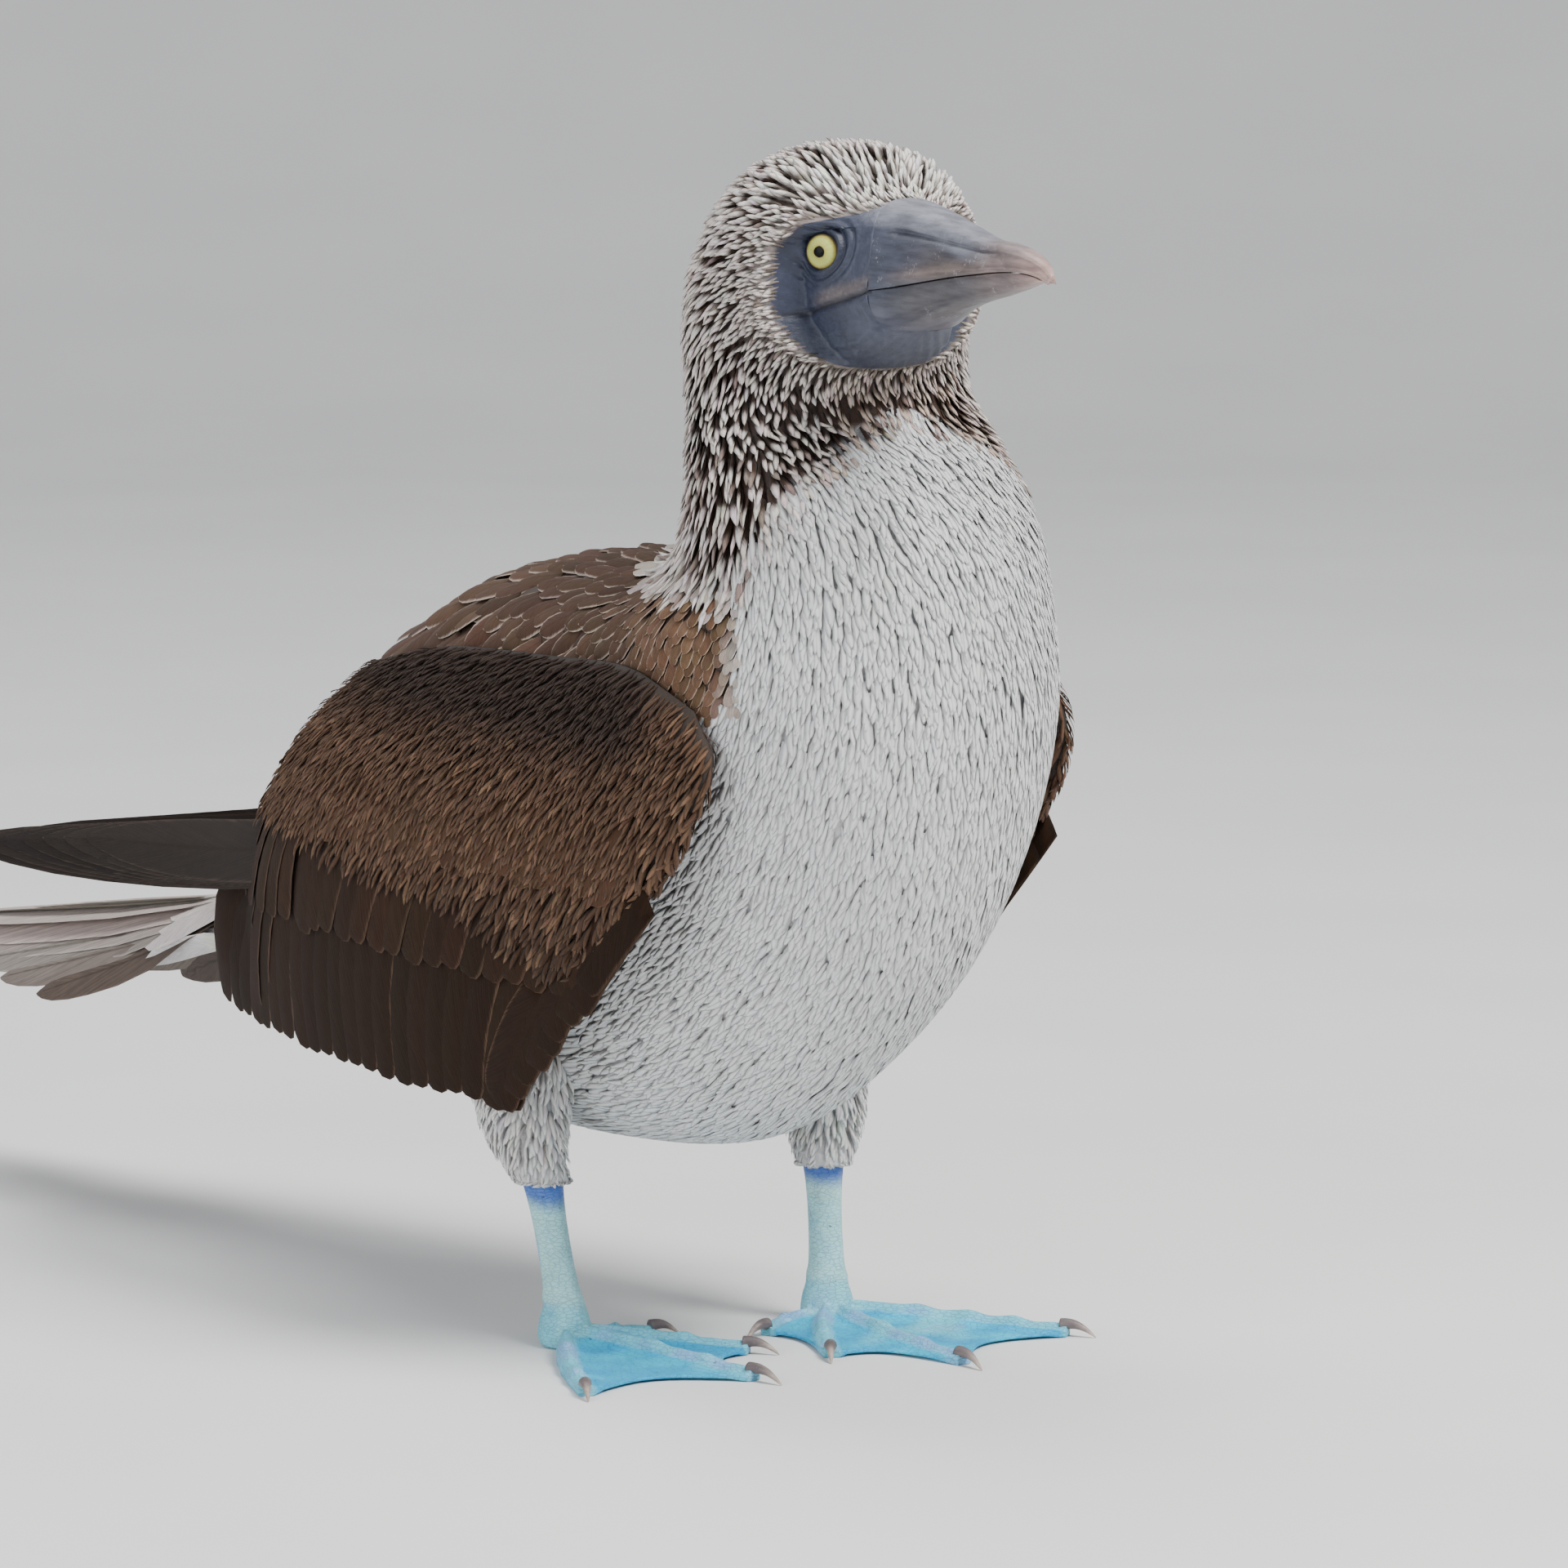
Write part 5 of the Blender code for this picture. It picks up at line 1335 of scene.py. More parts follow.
def make_bill(mat):
    n = len(BILL) - 1
    for name, half, lower, stations in (
            ("bill_upper", curve(UPPER_HALF, 46), False, np.linspace(0.0, n, 150)),
            ("bill_lower", curve(LOWER_HALF, 34), True, np.linspace(0.0, n - 0.95, 130))):
        rings = bill_rings(half, lower, stations)
        mid = rings[0].mean(0)
        sunk = mid + (rings[0] - mid) * 0.93 - HEAD_F * 0.0030
        verts, tris = tube(np.concatenate([sunk[None], rings]))
        ob = mesh_object(name, verts, tris, mat)
        paint(ob, "Tone", face_colour(verts))
        dress(ob, "bill_horn", name)


# Eyes

def eye_pose(side):
    axis = (HEAD_F * math.cos(EYE_OUT) + HEAD_S * side * math.sin(EYE_OUT)) * math.cos(EYE_UP)
    axis = axis + np.array([0, 0, math.sin(EYE_UP)])
    return head_point(EYE_AT[0], side * EYE_AT[1], EYE_AT[2]) - axis * EYE_SINK, axis


def make_eye(word, side, mat):
    """Eyeball with a small bulge, painted by the angle from where the bird looks."""
    centre, axis = eye_pose(side)
    u = unit(np.cross(axis, [0, 0, 1.0]))
    w = np.cross(axis, u)
    a = circle(96)
    theta = np.concatenate([np.linspace(0, 0.75, 60)[1:], np.linspace(0.75, 3.05, 50)[1:]])
    rings = []
    for th in theta:
        r = np.sin(th) * EYE_RADIUS
        bulge = 0.00035 * max(0.0, 1 - (r / 0.0052) ** 2) ** 2 if th < 1.2 else 0.0
        rings.append(centre + axis * (np.cos(th) * EYE_RADIUS + bulge)
                     + r * (np.cos(a)[:, None] * u + np.sin(a)[:, None] * w))
    verts, tris = tube(rings)
    ob = mesh_object("eye_" + word, verts, tris, mat)
    cosine = unit(verts - centre) @ unit(axis + HEAD_F * 0.150)
    out = np.where(cosine < 0.1, 9.0, np.sqrt(np.clip(1 - cosine ** 2, 0, 1)) * EYE_RADIUS * 1000)
    ang = np.tile(a, len(theta))
    paint(ob, "Ring", np.stack([out / 10, np.cos(ang) * 0.5 + 0.5, np.sin(ang) * 0.5 + 0.5], 1))
    dress(ob, "iris_yellow", "eye_" + word)


# Legs and feet

def toe_line(word, k, u):
    """Point, direction, side direction and reach of a toe at the share u of its length."""
    x0, _, y0 = LEGS[word]
    side = -1 if x0 < 0 else 1
    deg, length = TOES[k]
    a = math.radians(deg)
    r = 0.004 + (length - 0.004) * u
    bow = 0.0020 * np.sin(np.pi * u) * (1 if deg > 0 else -1)
    d = np.array([side * math.sin(a), -math.cos(a)])
    p = np.array([side * math.cos(a), math.sin(a)])
    c = np.array([x0, y0]) + d * np.asarray(r)[..., None] + p * np.asarray(bow)[..., None]
    return c, d, p, r


JOINTS = {"outer": (0.34, 0.56, 0.76), "middle": (0.42, 0.72), "inner": (0.62,), "hallux": (0.55,)}


def toe_height(k, u):
    h = 0.0078 - 0.0036 * np.minimum(1, u * 1.2) if k != "hallux" else 0.0060 - 0.0022 * u
    for j in JOINTS[k]:
        h = h + 0.0008 * np.exp(-((u - j) / 0.05) ** 2) - 0.0003 * np.exp(-((u - j - 0.09) / 0.04) ** 2)
    return h


def foot_columns(word):
    """Lines from the heel outwards over toes and webs: x, y, upper height, lower height."""
    x0, _, y0 = LEGS[word]
    base = np.array([x0, y0])
    us = np.linspace(0.05, 1.0, 90)
    toes = []
    for k in TOES:
        c, d, p, r = toe_line(word, k, us)
        hw = np.minimum(0.0031 - 0.0006 * us, 0.15 * r + 0.0004)
        hw = hw * (1 + 0.10 * sum(np.exp(-((us - j) / 0.05) ** 2) for j in JOINTS[k]))
        toes.append((c, p, hw, toe_height(k, us)))
    cols = []
    for i, (c, p, hw, h) in enumerate(toes):
        for s in np.linspace(1, -1, 11):
            z = h * np.sqrt(np.clip(1 - (abs(s) * 0.86) ** 2, 0.05, 1))
            cols.append((c + p * (s * hw)[:, None], z, 0 * z))
        if i == len(toes) - 1:
            break
        c2, p2, hw2, h2 = toes[i + 1]
        a, b = c - p * hw[:, None], c2 + p2 * hw2[:, None]
        for v in np.linspace(0, 1, 30)[1:-1]:
            dip = 1 - 0.16 * us ** 3 * 4 * v * (1 - v)
            xy = base + (a + (b - a) * v - base) * dip[:, None]
            reach = np.minimum(v, 1 - v) * np.linalg.norm(b - a, axis=1)
            z = 0.0019 + 0.0022 * (1 - us) ** 2 + 0.0016 * np.exp(-reach / 0.0022)
            z = z + 0.00022 * np.sin(v * 34 + 3 * us + i) * np.sin(us * 5 + v * 3)
            cols.append((xy, z, 0.0007 * smooth(reach / 0.003)))
    return cols


def make_foot_solid(word):
    """Toes and webs as one closed sheet with a flat underside."""
    cols = foot_columns(word)
    top, low = (np.stack([np.column_stack([col[0], col[k]]) for col in cols], 1) for k in (1, 2))
    nr, nc = top.shape[:2]
    off = nr * nc
    rim = ([i * nc for i in range(nr)] + [(nr - 1) * nc + j for j in range(1, nc)]
           + [i * nc + nc - 1 for i in range(nr - 2, -1, -1)] + list(range(nc - 2, 0, -1)))
    side = []
    for a, b in zip(rim, rim[1:] + rim[:1]):
        side += [(a, b + off, b), (a, a + off, b + off)]
    verts = np.vstack([top.reshape(-1, 3), low.reshape(-1, 3)])
    return verts, outward(verts, np.vstack([grid_faces(nr, nc, False), grid_faces(nr, nc, False, True, off),
                                            np.array(side)[:, ::-1]]))


# The leg from the cuff down: height, half width across, half width along.
LEG = [(0.0560, 0.0050, 0.0062), (0.0530, 0.0056, 0.0066), (0.0497, 0.0059, 0.0069), (0.044, 0.0053, 0.0064),
       (0.036, 0.0049, 0.0059), (0.026, 0.0049, 0.0059), (0.019, 0.0052, 0.0063), (0.0150, 0.0058, 0.0070),
       (0.0110, 0.0066, 0.0078), (0.0070, 0.0077, 0.0086), (0.0030, 0.0080, 0.0088), (0.0002, 0.0068, 0.0074)]


def leg_rings(word):
    x, top_y, ankle_y = LEGS[word]
    a = circle(40)
    ridge = 1 + 0.05 * np.exp(-((a - 1.5 * np.pi) / 0.35) ** 2)
    out = []
    for z, rx, ry in curve(LEG, 90):
        y = mix(top_y, ankle_y, np.clip((CUFF_Z - z) / (CUFF_Z - ANKLE_Z), -0.3, 1))
        fold = 0.00020 * math.sin(z / 0.0011) * math.exp(-((z - 0.0135) / 0.004) ** 2)
        out.append(np.stack([x + (rx + fold) * ridge * np.cos(a), y + (ry + fold) * ridge * np.sin(a),
                             np.full(len(a), z)], 1))
    return out


def remeshed(parts, voxel, rounds):
    """One closed surface round several overlapping solids."""
    me = bpy.data.meshes.new("rough")
    starts = np.cumsum([0] + [len(v) for v, t in parts])
    me.from_pydata(np.vstack([v for v, t in parts]).tolist(), [],
                   np.vstack([t + start for (v, t), start in zip(parts, starts)]).tolist())
    ob = placed("rough", me)
    mod = ob.modifiers.new("remesh", "REMESH")
    mod.mode = "VOXEL"
    mod.voxel_size = voxel
    soft = ob.modifiers.new("soft", "SMOOTH")
    soft.factor = 0.5
    soft.iterations = rounds
    deps = bpy.context.evaluated_depsgraph_get()
    done = bpy.data.meshes.new_from_object(ob.evaluated_get(deps))
    bpy.data.objects.remove(ob, do_unlink=True)
    bm = bmesh.new()
    bm.from_mesh(done)
    bmesh.ops.triangulate(bm, faces=bm.faces)
    out_v = np.array([v.co[:] for v in bm.verts])
    bm.verts.index_update()
    out_t = np.array([[v.index for v in f.verts] for f in bm.faces])
    bm.free()
    bpy.data.meshes.remove(done)
    out_v[:, 2] = np.maximum(out_v[:, 2], 0.0)
    return out_v, out_t


def foot_tone(p, word):
    """Aqua toes, saturated blue webs, pale tarsus with a violet ring at the cuff."""
    x0, top_y, y0 = LEGS[word]
    xy = p[:, :2] - np.array([x0, y0])
    r = np.linalg.norm(xy, axis=1)
    lines = [toe_line(word, k, np.linspace(0, 1, 60))[0] for k in TOES]
    best = np.min([np.linalg.norm(p[:, None, :2] - c[None], axis=2).min(1) for c in lines], 0)
    n1, n2, n3 = noise3(p, 260, 41), noise3(p, 700, 42), noise3(p, 130, 43)
    toe = smooth((0.0042 - best) / 0.0022)
    out = np.tile(np.array([0.006, 0.340, 0.610]), (len(p), 1))

    out = lay(out, (0.015, 0.480, 0.700), smooth(n1 * 0.8 + 0.35))
    out = lay(out, (0.16, 0.24, 0.62), smooth((n1 * n3 - 0.25) / 0.25) * 0.6)
    out = lay(out, (0.20, 0.62, 0.66), smooth((n3 - 0.35) / 0.5) * 0.6)
    out = lay(out, (0.190, 0.560, 0.650), toe * 0.80)
    out = lay(out, (0.250, 0.420, 0.720), toe * smooth((n1 + 0.1) / 0.8) * 0.7)
    leg = smooth((p[:, 2] - 0.0105) / 0.005)
    out = lay(out, (0.400, 0.690, 0.690), leg)
    out = lay(out, (0.560, 0.720, 0.660), leg * smooth(n3 + 0.1) * 0.6)
    out = lay(out, (0.150, 0.340, 0.620), leg * smooth((n1 - 0.2) / 0.6) * 0.5)
    cuff = smooth((p[:, 2] - 0.0415 - 0.002 * n1) / 0.006)
    out = lay(out, (0.040, 0.110, 0.460), cuff * 0.9)
    near = smooth((0.014 - r) / 0.006) * (1 - leg)
    out = lay(out, (0.330, 0.680, 0.700), near * 0.6)
    return np.clip(out * (1 + 0.10 * n2)[:, None], 0, 1)


def make_claws(word, mat):
    steps, a = np.linspace(0, 1, 22), circle(20)
    for k, length in CLAWS.items():
        c, d, p, r = toe_line(word, k, np.array([0.965]))
        rings = []
        for t in steps:
            drop = 0.0034 - 0.0006 * t - 0.0026 * t ** 2.2 + 0.0009 * math.sin(math.pi * t)
            w = 0.00185 * (1 - t) ** 0.75 + 0.00018
            h = 0.00205 * (1 - t) ** 0.70 + 0.00018
            x, y = (c[0] + d * (length + 0.0028) * t)[:, None] + p[:, None] * w * np.cos(a)
            z = drop + h * np.sin(a) * (1 - 0.25 * (np.sin(a) < 0))
            rings.append(np.stack([x, y, np.maximum(z, 0.00005)], 1))
        verts, tris = tube(rings)
        name = "claw_%s_%s" % (k, word)
        ob = mesh_object(name, verts, tris, mat)
        along = np.repeat(steps, len(a))
        paint(ob, "Tone", lay((0.16, 0.13, 0.13), (0.46, 0.38, 0.32), smooth((along - 0.35) / 0.6)))
        dress(ob, "claw_horn", name)


# Thighs

# The feathered thigh: height, half widths across and along, how far it is set outwards and back.
THIGH = [(0.108, 0.0165, 0.0245, 0.0, 0.011), (0.100, 0.0165, 0.0240, 0.000, 0.010),
         (0.086, 0.0158, 0.0225, 0.0010, 0.008), (0.074, 0.0138, 0.0180, 0.0025, 0.006),
         (0.064, 0.0118, 0.0148, 0.0032, 0.0040), (0.056, 0.0100, 0.0120, 0.0020, 0.0020),
         (CUFF_Z, 0.0078, 0.0090, 0.0, 0.0)]
THIGH_SPACING = 0.0019


def thigh_skin(word, inset):
    x, top_y, ankle_y = LEGS[word]
    side = -1 if x < 0 else 1
    a = -circle(72)
    g = []
    for z, rx, ry, dx, dy in curve(THIGH, 50):
        less = inset * smooth((z - CUFF_Z) / 0.012)
        g.append(np.stack([x + side * dx + (rx - less) * np.cos(a), top_y + dy + (ry - less) * np.sin(a),
                           np.full(len(a), z)], 1))
    return Skin(np.array(g))


def make_thigh_coat(word, mat):
    rng = np.random.default_rng(80 + len(word))
    skin = thigh_skin(word, 0.0)

    def zone(p, n):
        hits = [(Vector(q), BODY_TREE.find_nearest(Vector(q))) for q in p]
        return np.array([0.0 if (q - hit[0]).dot(hit[1]) < -0.002 else 1.0 for q, hit in hits])

    u, v, p, n = sow(skin, 14000, zone, lambda p: np.full(len(p), THIGH_SPACING), rng)
    k = len(u)
    length = THIGH_SPACING * rng.uniform(3.2, 4.8, k)
    low = smooth((0.062 - p[:, 2]) / 0.012)
    rows = (*on_skin(skin, u, v, np.tile([0.0, 0.05, -1.0], (k, 1)), length, POINTED, np.full(k, -0.0026),
                     rng.uniform(0.0, 0.0006, k) + 0.0005 * low, rng.uniform(-0.0004, 0.0004, k), rng,
                     0.18, 0.25, 0.05),
            outline(THIGH_SPACING * rng.uniform(0.40, 0.62, k), POINTED))
    base = lay((0.78, 0.76, 0.73), (0.70, 0.68, 0.64), low)
    return plume("coat_thigh_" + word, rows, on_map(u, v), shade(base * 0.85, rng, k, 0.05),
                 shade(base, rng, k, 0.03), mat, rng, camber=0.4, rag=0.2)


# The one skin under the coat

def flesh_mesh():
    """The trunk, neck and head as faces of four corners, with their unwrap, finer round the eyes."""
    bm = bmesh.new()
    uv = bm.loops.layers.uv.new("OFBake")
    nv, nu = FLESH.nv, FLESH.nu
    verts = [[bm.verts.new(p) for p in row] for row in FLESH.g]
    for i in range(nv - 1):
        for j in range(nu):
            k = (j + 1) % nu
            face = bm.faces.new((verts[i][j], verts[i][k], verts[i + 1][k], verts[i + 1][j]))
            face.smooth = True
            for loop, (a, b) in zip(face.loops, ((j, i), (j + 1, i), (j + 1, i + 1), (j, i + 1))):
                loop[uv].uv = (a / nu, b / (nv - 1))
    for row in (verts[0][::-1], verts[-1]):
        bm.faces.new(row)
    near = [f for f in bm.faces if len(f.verts) == 4
            and np.linalg.norm(EYES - np.array(f.calc_center_median()), axis=1).min() < 0.0135]
    edges = list({e for f in near for e in f.edges})
    bmesh.ops.subdivide_edges(bm, edges=edges, cuts=2, use_grid_fill=True)
    bm.normal_update()
    return bm


def body_skin(mat):
    """One skin over torso, neck and head, with the relief and colour of the bare face."""
    bm = flesh_mesh()
    pts = np.array([v.co[:] for v in bm.verts])
    nor = np.array([v.normal[:] for v in bm.verts])
    near = np.linalg.norm(pts - np.array([0, 0, 0.338]), axis=1) < 0.09
    if (nor[near] * (pts[near] - pts[near].mean(0))).sum() < 0:
        bmesh.ops.reverse_faces(bm, faces=bm.faces)
        nor = -nor
    high = pts[:, 2] > HEAD_LOW
    lift = np.zeros(len(pts))
    lift[high] = face_relief(pts[high])
    for v, n, h in zip(bm.verts, nor, lift):
        if h:
            v.co += Vector(n * h)
    bmesh.ops.triangulate(bm, faces=bm.faces)
    pts = np.array([v.co[:] for v in bm.verts])
    face = np.zeros(len(pts))
    face[high] = bare(pts[high])
    tone = lay(under_tone(pts), face_colour(pts), smooth((face - 0.03) / 0.20))
    me = bpy.data.meshes.new("skin")
    bmesh.ops.translate(bm, verts=bm.verts, vec=Vector(-SHIFT))
    bm.to_mesh(me)
    bm.free()
    me.materials.append(mat)
    ob = placed("skin", me)
    paint(ob, "Tone", np.hstack([tone, face[:, None]]))
    dress(ob, "plumage_white", "torso", "neck", "head")


def make_skin(mats):
    body_skin(mats["skin"])
    for word, side in SIDES:
        verts, tris = remeshed([make_foot_solid(word), tube(leg_rings(word))], 0.00052, 4)
        leg = mesh_object("leg_skin_" + word, verts, tris, mats["leg"])
        paint(leg, "Tone", foot_tone(verts, word))
        dress(leg, "skin_blue", "leg_" + word, "foot_" + word)
        verts, tris = tube(thigh_skin(word, 0.0030).g)
        thigh = mesh_object("thigh_skin_" + word, verts, tris, mats["skin"])
        paint(thigh, "Tone", np.tile([0.60, 0.58, 0.56, 0.0], (len(verts), 1)))
        dress(thigh, "plumage_white", "thigh_" + word)


def under_tone(p):
    """Colour of the skin under the feathers; under the hood it is dark brown deepened into painted shade, which
    shows in the gaps between the tips.
    """
    f, s, z = head_frame(p)
    pale = np.where(z > HEAD_LOW, smooth((0.010 - face_edge(z) + f) / 0.010), 0.0)
    brow = smooth((z - 0.352) / 0.010) * smooth((f - 0.015) / 0.02)
    dark = lay(HOOD_DARK_AND_SHADE, (0.36, 0.31, 0.28), 0.6 * pale + 0.5 * brow)
    return lay(lay((0.86, 0.86, 0.86), dark, hood(p)), (0.060, 0.036, 0.024), mantle(p))


# Skin, horn and eye finishes

def skin_finish():
    g = Finish("bare_skin")
    tone = g.attribute("Tone")["Color"]
    fine = g.noise(g.here, 1500.0, 4.0, 0.6)
    pits = g.noise(g.here, 520.0, 3.0, 0.6)
    crease = g.noise(g.scaled(g.here, (1.0, 1.0, 3.4)), 260.0, 3.0, 0.5)
    g.set({"Base Color": g.mix(g.steps(pits, 0.35, 0.7), g.tint(tone, (0.72, 0.72, 0.76)), tone),
           "Roughness": g.line(pits, 0.30, 0.36), "Specular IOR Level": 0.45})
    g.bump(g.plus(g.times(fine, 0.35), g.plus(pits, g.times(crease, 1.2))), 0.00022, 0.9)
    return g.material


def horn_finish(name, rough=0.34):
    g = Finish(name)
    tone = g.attribute("Tone")["Color"]
    streak = g.noise(g.scaled(g.here, (1.4, 0.35, 2.2)), 240.0, 4.0, 0.6)
    fine = g.noise(g.here, 1300.0, 4.0, 0.6)
    worn = g.noise(g.here, 150.0, 4.0, 0.6)
    colour = g.mix(g.steps(streak, 0.30, 0.68), g.tint(tone, (0.60, 0.58, 0.60)), tone)
    flake = g.steps(g.times(worn, fine), 0.355, 0.41)
    g.set({"Base Color": g.mix(g.times(flake, 0.35), colour, (0.42, 0.40, 0.42)),
           "Roughness": g.line(worn, 0.35, rough - 0.10), "Specular IOR Level": 0.5})
    g.bump(g.plus(g.times(fine, 0.4), streak), 0.00016)
    return g.material


def leg_finish():
    g = Finish("leg_skin")
    tone = g.attribute("Tone")["Color"]
    fine = g.noise(g.here, 900.0, 4.0, 0.6)
    scales = g.add("TexVoronoi")
    scales.feature = "DISTANCE_TO_EDGE"
    g.join(620.0, scales.inputs["Scale"])
    g.join(g.scaled(g.here, (0.75, 0.75, 1.7)), scales.inputs["Vector"])
    cell = g.steps(scales.outputs[0], 0.0, 0.09)
    dirt = g.steps(g.noise(g.here, 330.0, 3.0, 0.65), 0.69, 0.74)
    colour = g.mix(cell, g.tint(tone, (0.60, 0.74, 0.86)), tone)
    g.set({"Base Color": g.mix(g.times(dirt, 0.75), colour, (0.045, 0.035, 0.030)),
           "Roughness": g.line(fine, 0.25, 0.36), "Specular IOR Level": 0.28,
           "Subsurface Weight": 0.08, "Subsurface Scale": 0.003})
    g.bump(g.plus(g.times(cell, 0.8), g.times(fine, 0.6)), 0.00018)
    return g.material


# Iris from the pupil outwards: the share of 10 mm from the middle of the eye, and the colour there.
IRIS = [(0.0, (0.004, 0.004, 0.004)), (0.158, (0.004, 0.004, 0.004)), (0.178, (0.40, 0.34, 0.10)),
        (0.24, (0.46, 0.49, 0.13)), (0.38, (0.52, 0.56, 0.18)), (0.455, (0.46, 0.40, 0.10)),
        (0.50, (0.14, 0.11, 0.05)), (0.54, (0.02, 0.02, 0.03))]


def eye_finish():
    g = Finish("eye_gloss")
    sep = g.add("SeparateColor")
    g.join(g.attribute("Ring")["Color"], sep.inputs[0])
    out, across, up = sep.outputs[:3]
    rays = g.noise(g.parts(g.times(across, 34.0), g.times(up, 34.0), g.times(out, 3.0)), 1.0, 3.0, 0.6)
    r = g.plus(out, g.around(g.noise(g.here, 420.0, 3.0, 0.6), 0.045))
    colour = g.tint(g.ramp(r, IRIS), g.ramp(rays, [(0.3, (0.80, 0.82, 0.70)), (0.7, (1, 1, 1))]))
    g.set({"Base Color": colour, "Roughness": 0.22, "Coat Weight": 0.06, "Coat Roughness": 0.03,
           "Specular IOR Level": 0.06})
    g.bump(rays, 0.00008, 0.5)
    return g.material


def floor_finish():
    g = Finish("studio_floor")
    patches = g.steps(g.noise(g.here, 6.0, 3.0, 0.5), 0.3, 0.7)
    g.set({"Base Color": g.mix(patches, (0.72, 0.72, 0.72), (0.75, 0.75, 0.745)), "Roughness": 0.85})
    return g.material


def down_finish(name, colour):
    g = Finish(name)
    n = g.noise(g.scaled(g.here, (1.0, 0.4, 2.0)), 500.0, 3.0, 0.6)
    g.set({"Base Color": g.mix(n, tuple(c * 0.6 for c in colour), colour), "Roughness": 0.8})
    g.bump(n, 0.0003)
    return g.material


# Everything together

MATS = {
    "skin": skin_finish(),
    "leg": leg_finish(),
    "hood": feather_finish("hood_feathers", (0.30, 0.58), (0.9, 1.2), 0.15, 26.0, 0.28, 0.8, sheen=0.1),
    "white": feather_finish("white_feathers", (0.55, 0.9), (0.9, 1.2), 0.0, 30.0, 0.05, 0.9, sheen=0.3,
                            bump=0.00006, soft=0.25),
    "mantle": feather_finish("mantle_feathers", (0.88, 1.0), (0.74, 1.0), 0.90, 40.0, 0.22, 0.7, shaft=0.25,
                             bump=0.00016),
    "vane": feather_finish("flight_feathers", (0.97, 1.0), (0.86, 1.0), 0.55, 120.0, 0.30, 0.7, shaft=0.35,
                           bump=0.00016, gloss=0.04),
    "covert": feather_finish("covert_feathers", (0.94, 1.0), (0.80, 1.0), 0.35, 90.0, 0.38, 0.7, shaft=0.2,
                             bump=0.0002, gloss=0.04),
    "lesser": feather_finish("lesser_feathers", (0.55, 0.95), (0.8, 1.0), 0.2, 22.0, 0.30, 0.7, sheen=0.05,
                             bump=0.00016, gloss=0.05),
    "dark": feather_finish("primary_feathers", (0.98, 1.0), (0.90, 1.0), 0.35, 160.0, 0.25, 0.6, shaft=0.5,
                           bump=0.00014, gloss=0.05),
    "tail": feather_finish("tail_feathers", (0.90, 1.0), (0.86, 1.0), 0.4, 120.0, 0.42, 0.6, shaft=0.45,
                           bump=0.00016),
    "tail_covert": feather_finish("tail_covert_feathers", (0.7, 1.0), (0.8, 1.0), 0.3, 60.0, 0.25, 0.7,
                                  bump=0.0002),
    "pad": down_finish("wing_down", (0.030, 0.018, 0.012)),
    "pad_tail": down_finish("tail_down", (0.55, 0.50, 0.46)),
    "bill": horn_finish("bill_surface"),
    "claw": horn_finish("claw_surface", 0.42),
    "eye": eye_finish(),
}

make_skin(MATS)
make_bill(MATS["bill"])
for word, side in SIDES:
    make_eye(word, side, MATS["eye"])
    make_claws(word, MATS["claw"])
    make_wing(word, side, MATS)
make_tail(MATS)
for piece in make_hood(MATS["hood"]):
    dress(piece, "plumage_streaked", "neck", "head")
for piece in make_white(MATS["white"]):
    dress(piece, "plumage_white", "torso")
dress(make_mantle(MATS["mantle"]), "plumage_white", "torso")
for word, side in SIDES:
    dress(make_thigh_coat(word, MATS["white"]), "plumage_white", "thigh_" + word)


# Floor, light and camera

AIM = np.array([0.0, 0.0353, 0.176]) - SHIFT
CAM_AZ, CAM_EL, CAM_DIST = math.radians(-39.0), math.radians(8.0), 3.0
BACK = np.array([math.sin(CAM_AZ) * math.cos(CAM_EL), -math.cos(CAM_AZ) * math.cos(CAM_EL), math.sin(CAM_EL)])
RIGHT = np.array([math.cos(CAM_AZ), math.sin(CAM_AZ), 0.0])


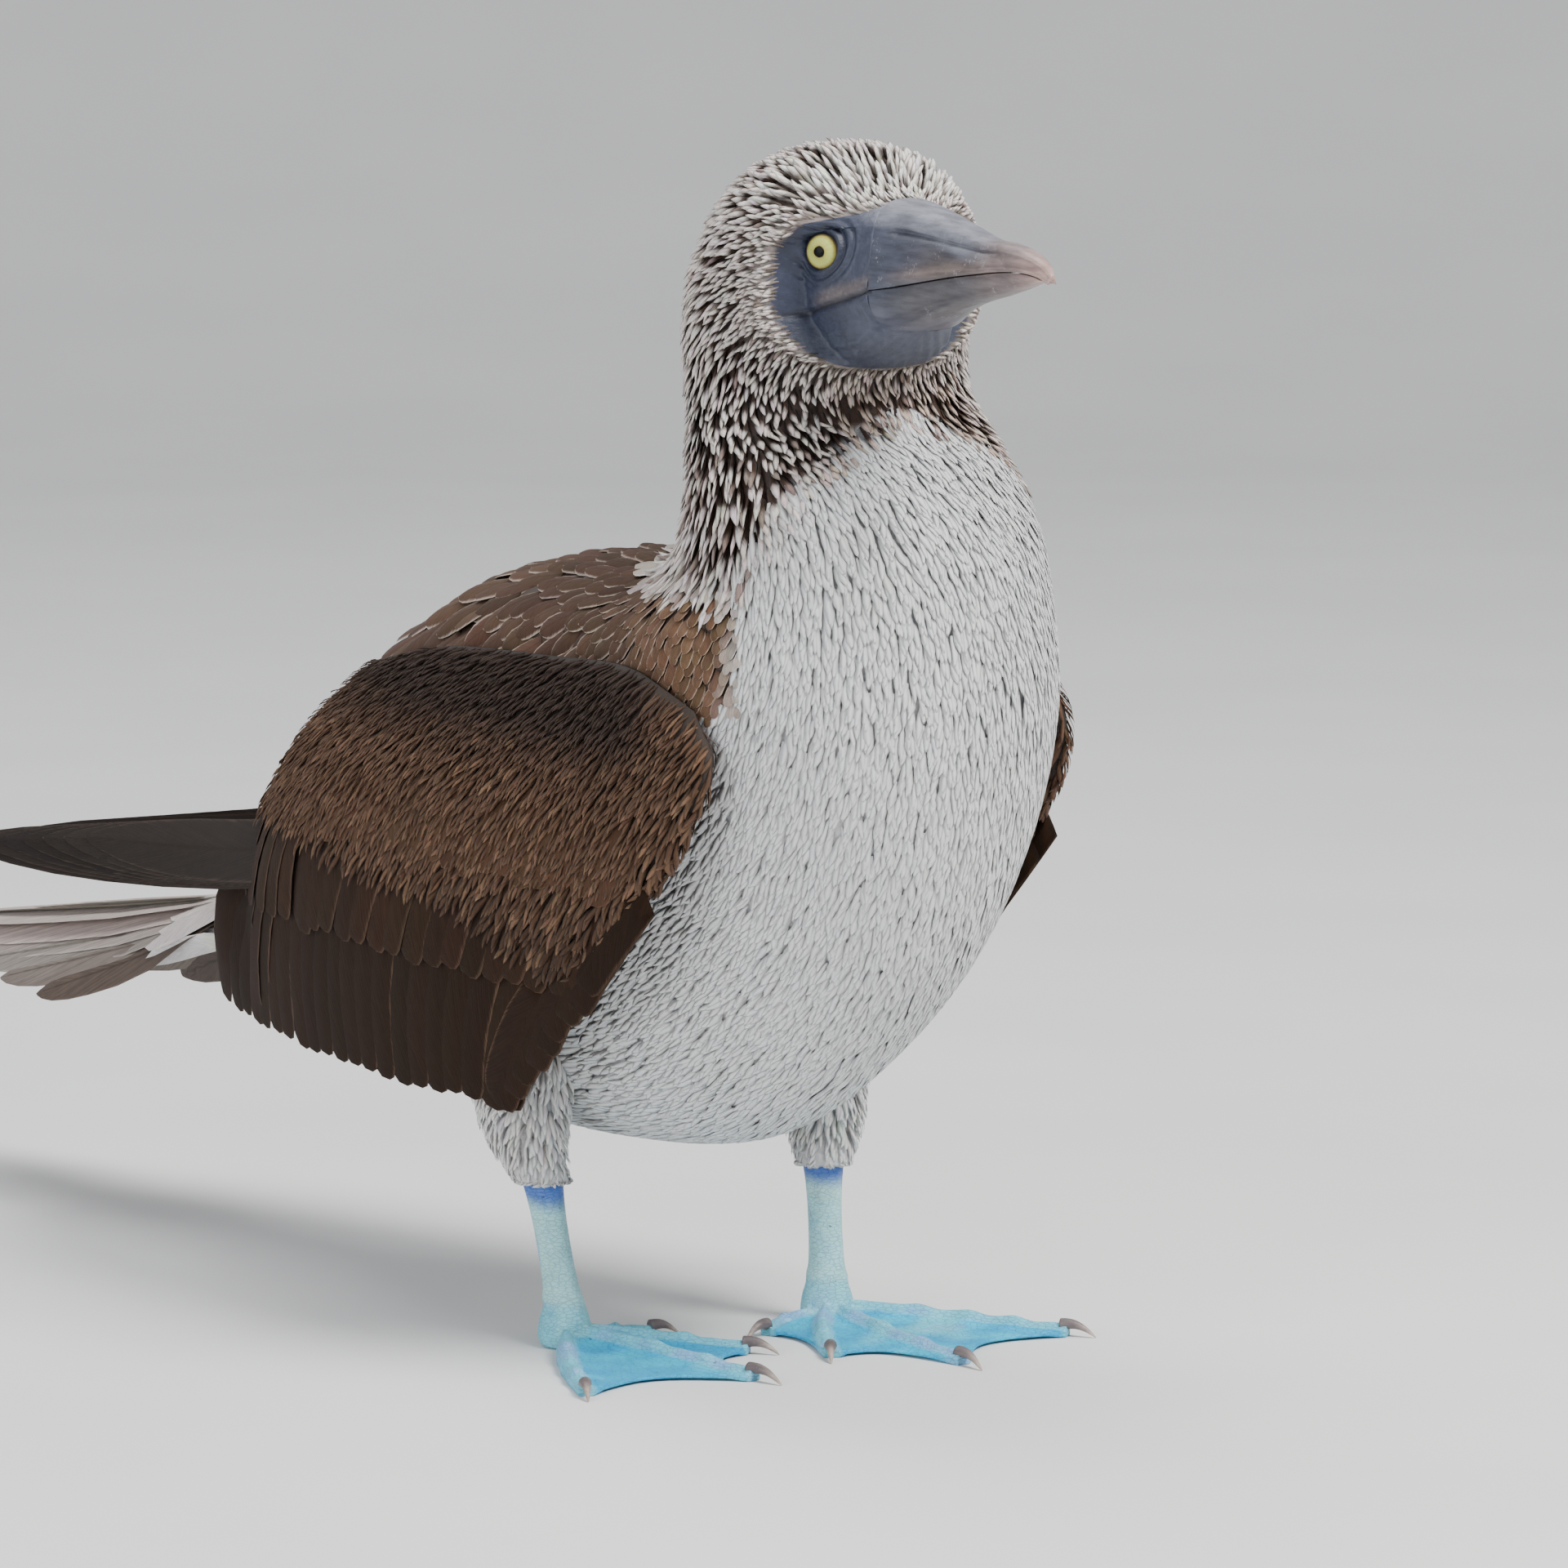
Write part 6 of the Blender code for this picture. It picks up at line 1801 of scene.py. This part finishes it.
def make_floor():
    """A floor that bends up into a backdrop behind the bird."""
    bend = np.linspace(0, math.pi / 2, 24)
    line = [(-9.0, 0.0), *zip(2.4 + 1.5 * np.sin(bend), 1.5 - 1.5 * np.cos(bend)), (3.9, 6.0)]
    back, across = -np.array([BACK[0], BACK[1], 0.0]) / math.cos(CAM_EL), RIGHT
    verts = [tuple(back * x + across * k + np.array([0, 0, z])) for x, z in line for k in (-9.0, 9.0)]
    faces = [(2 * i, 2 * i + 1, 2 * i + 3, 2 * i + 2) for i in range(len(line) - 1)]
    me = bpy.data.meshes.new("floor")
    me.from_pydata(verts, [], faces)
    me.shade_smooth()
    me.materials.append(floor_finish())
    placed("floor", me)


def look_at(ob, target):
    d = Vector(target) - ob.location
    ob.rotation_euler = d.to_track_quat("-Z", "Y").to_euler()


def make_camera():
    cam = bpy.data.cameras.new("camera")
    cam.sensor_width = 36.0
    cam.lens = 227.8
    ob = placed("camera", cam)
    ob.location = Vector(AIM + BACK * CAM_DIST)
    look_at(ob, AIM)
    bpy.context.scene.camera = ob


def area(name, where, size, watts, colour=(1, 1, 1)):
    data = bpy.data.lights.new(name, "AREA")
    data.shape = "DISK"
    data.size = size
    data.energy = watts
    data.color = colour
    ob = placed(name, data)
    ob.location = Vector(AIM + where)
    look_at(ob, AIM)


def make_lights():
    front = np.array([BACK[0], BACK[1], 0.0])
    front = front / np.linalg.norm(front)
    up = np.array([0, 0, 1.0])
    area("key", front * 0.9 + RIGHT * 1.1 + up * 1.7, 0.9, 74.0, (1.0, 0.985, 0.96))
    area("fill", front * 1.6 - RIGHT * 1.6 + up * 0.7, 1.6, 26.0, (0.94, 0.97, 1.0))
    area("top", -front * 0.7 - RIGHT * 0.5 + up * 2.0, 1.4, 26.0, (1.0, 1.0, 1.0))
    world = bpy.data.worlds.new("studio")
    bpy.context.scene.world = world
    world.use_nodes = True
    bg = world.node_tree.nodes["Background"]
    bg.inputs[0].default_value = (0.82, 0.84, 0.88, 1.0)
    bg.inputs[1].default_value = 0.62


make_floor()
make_camera()
make_lights()
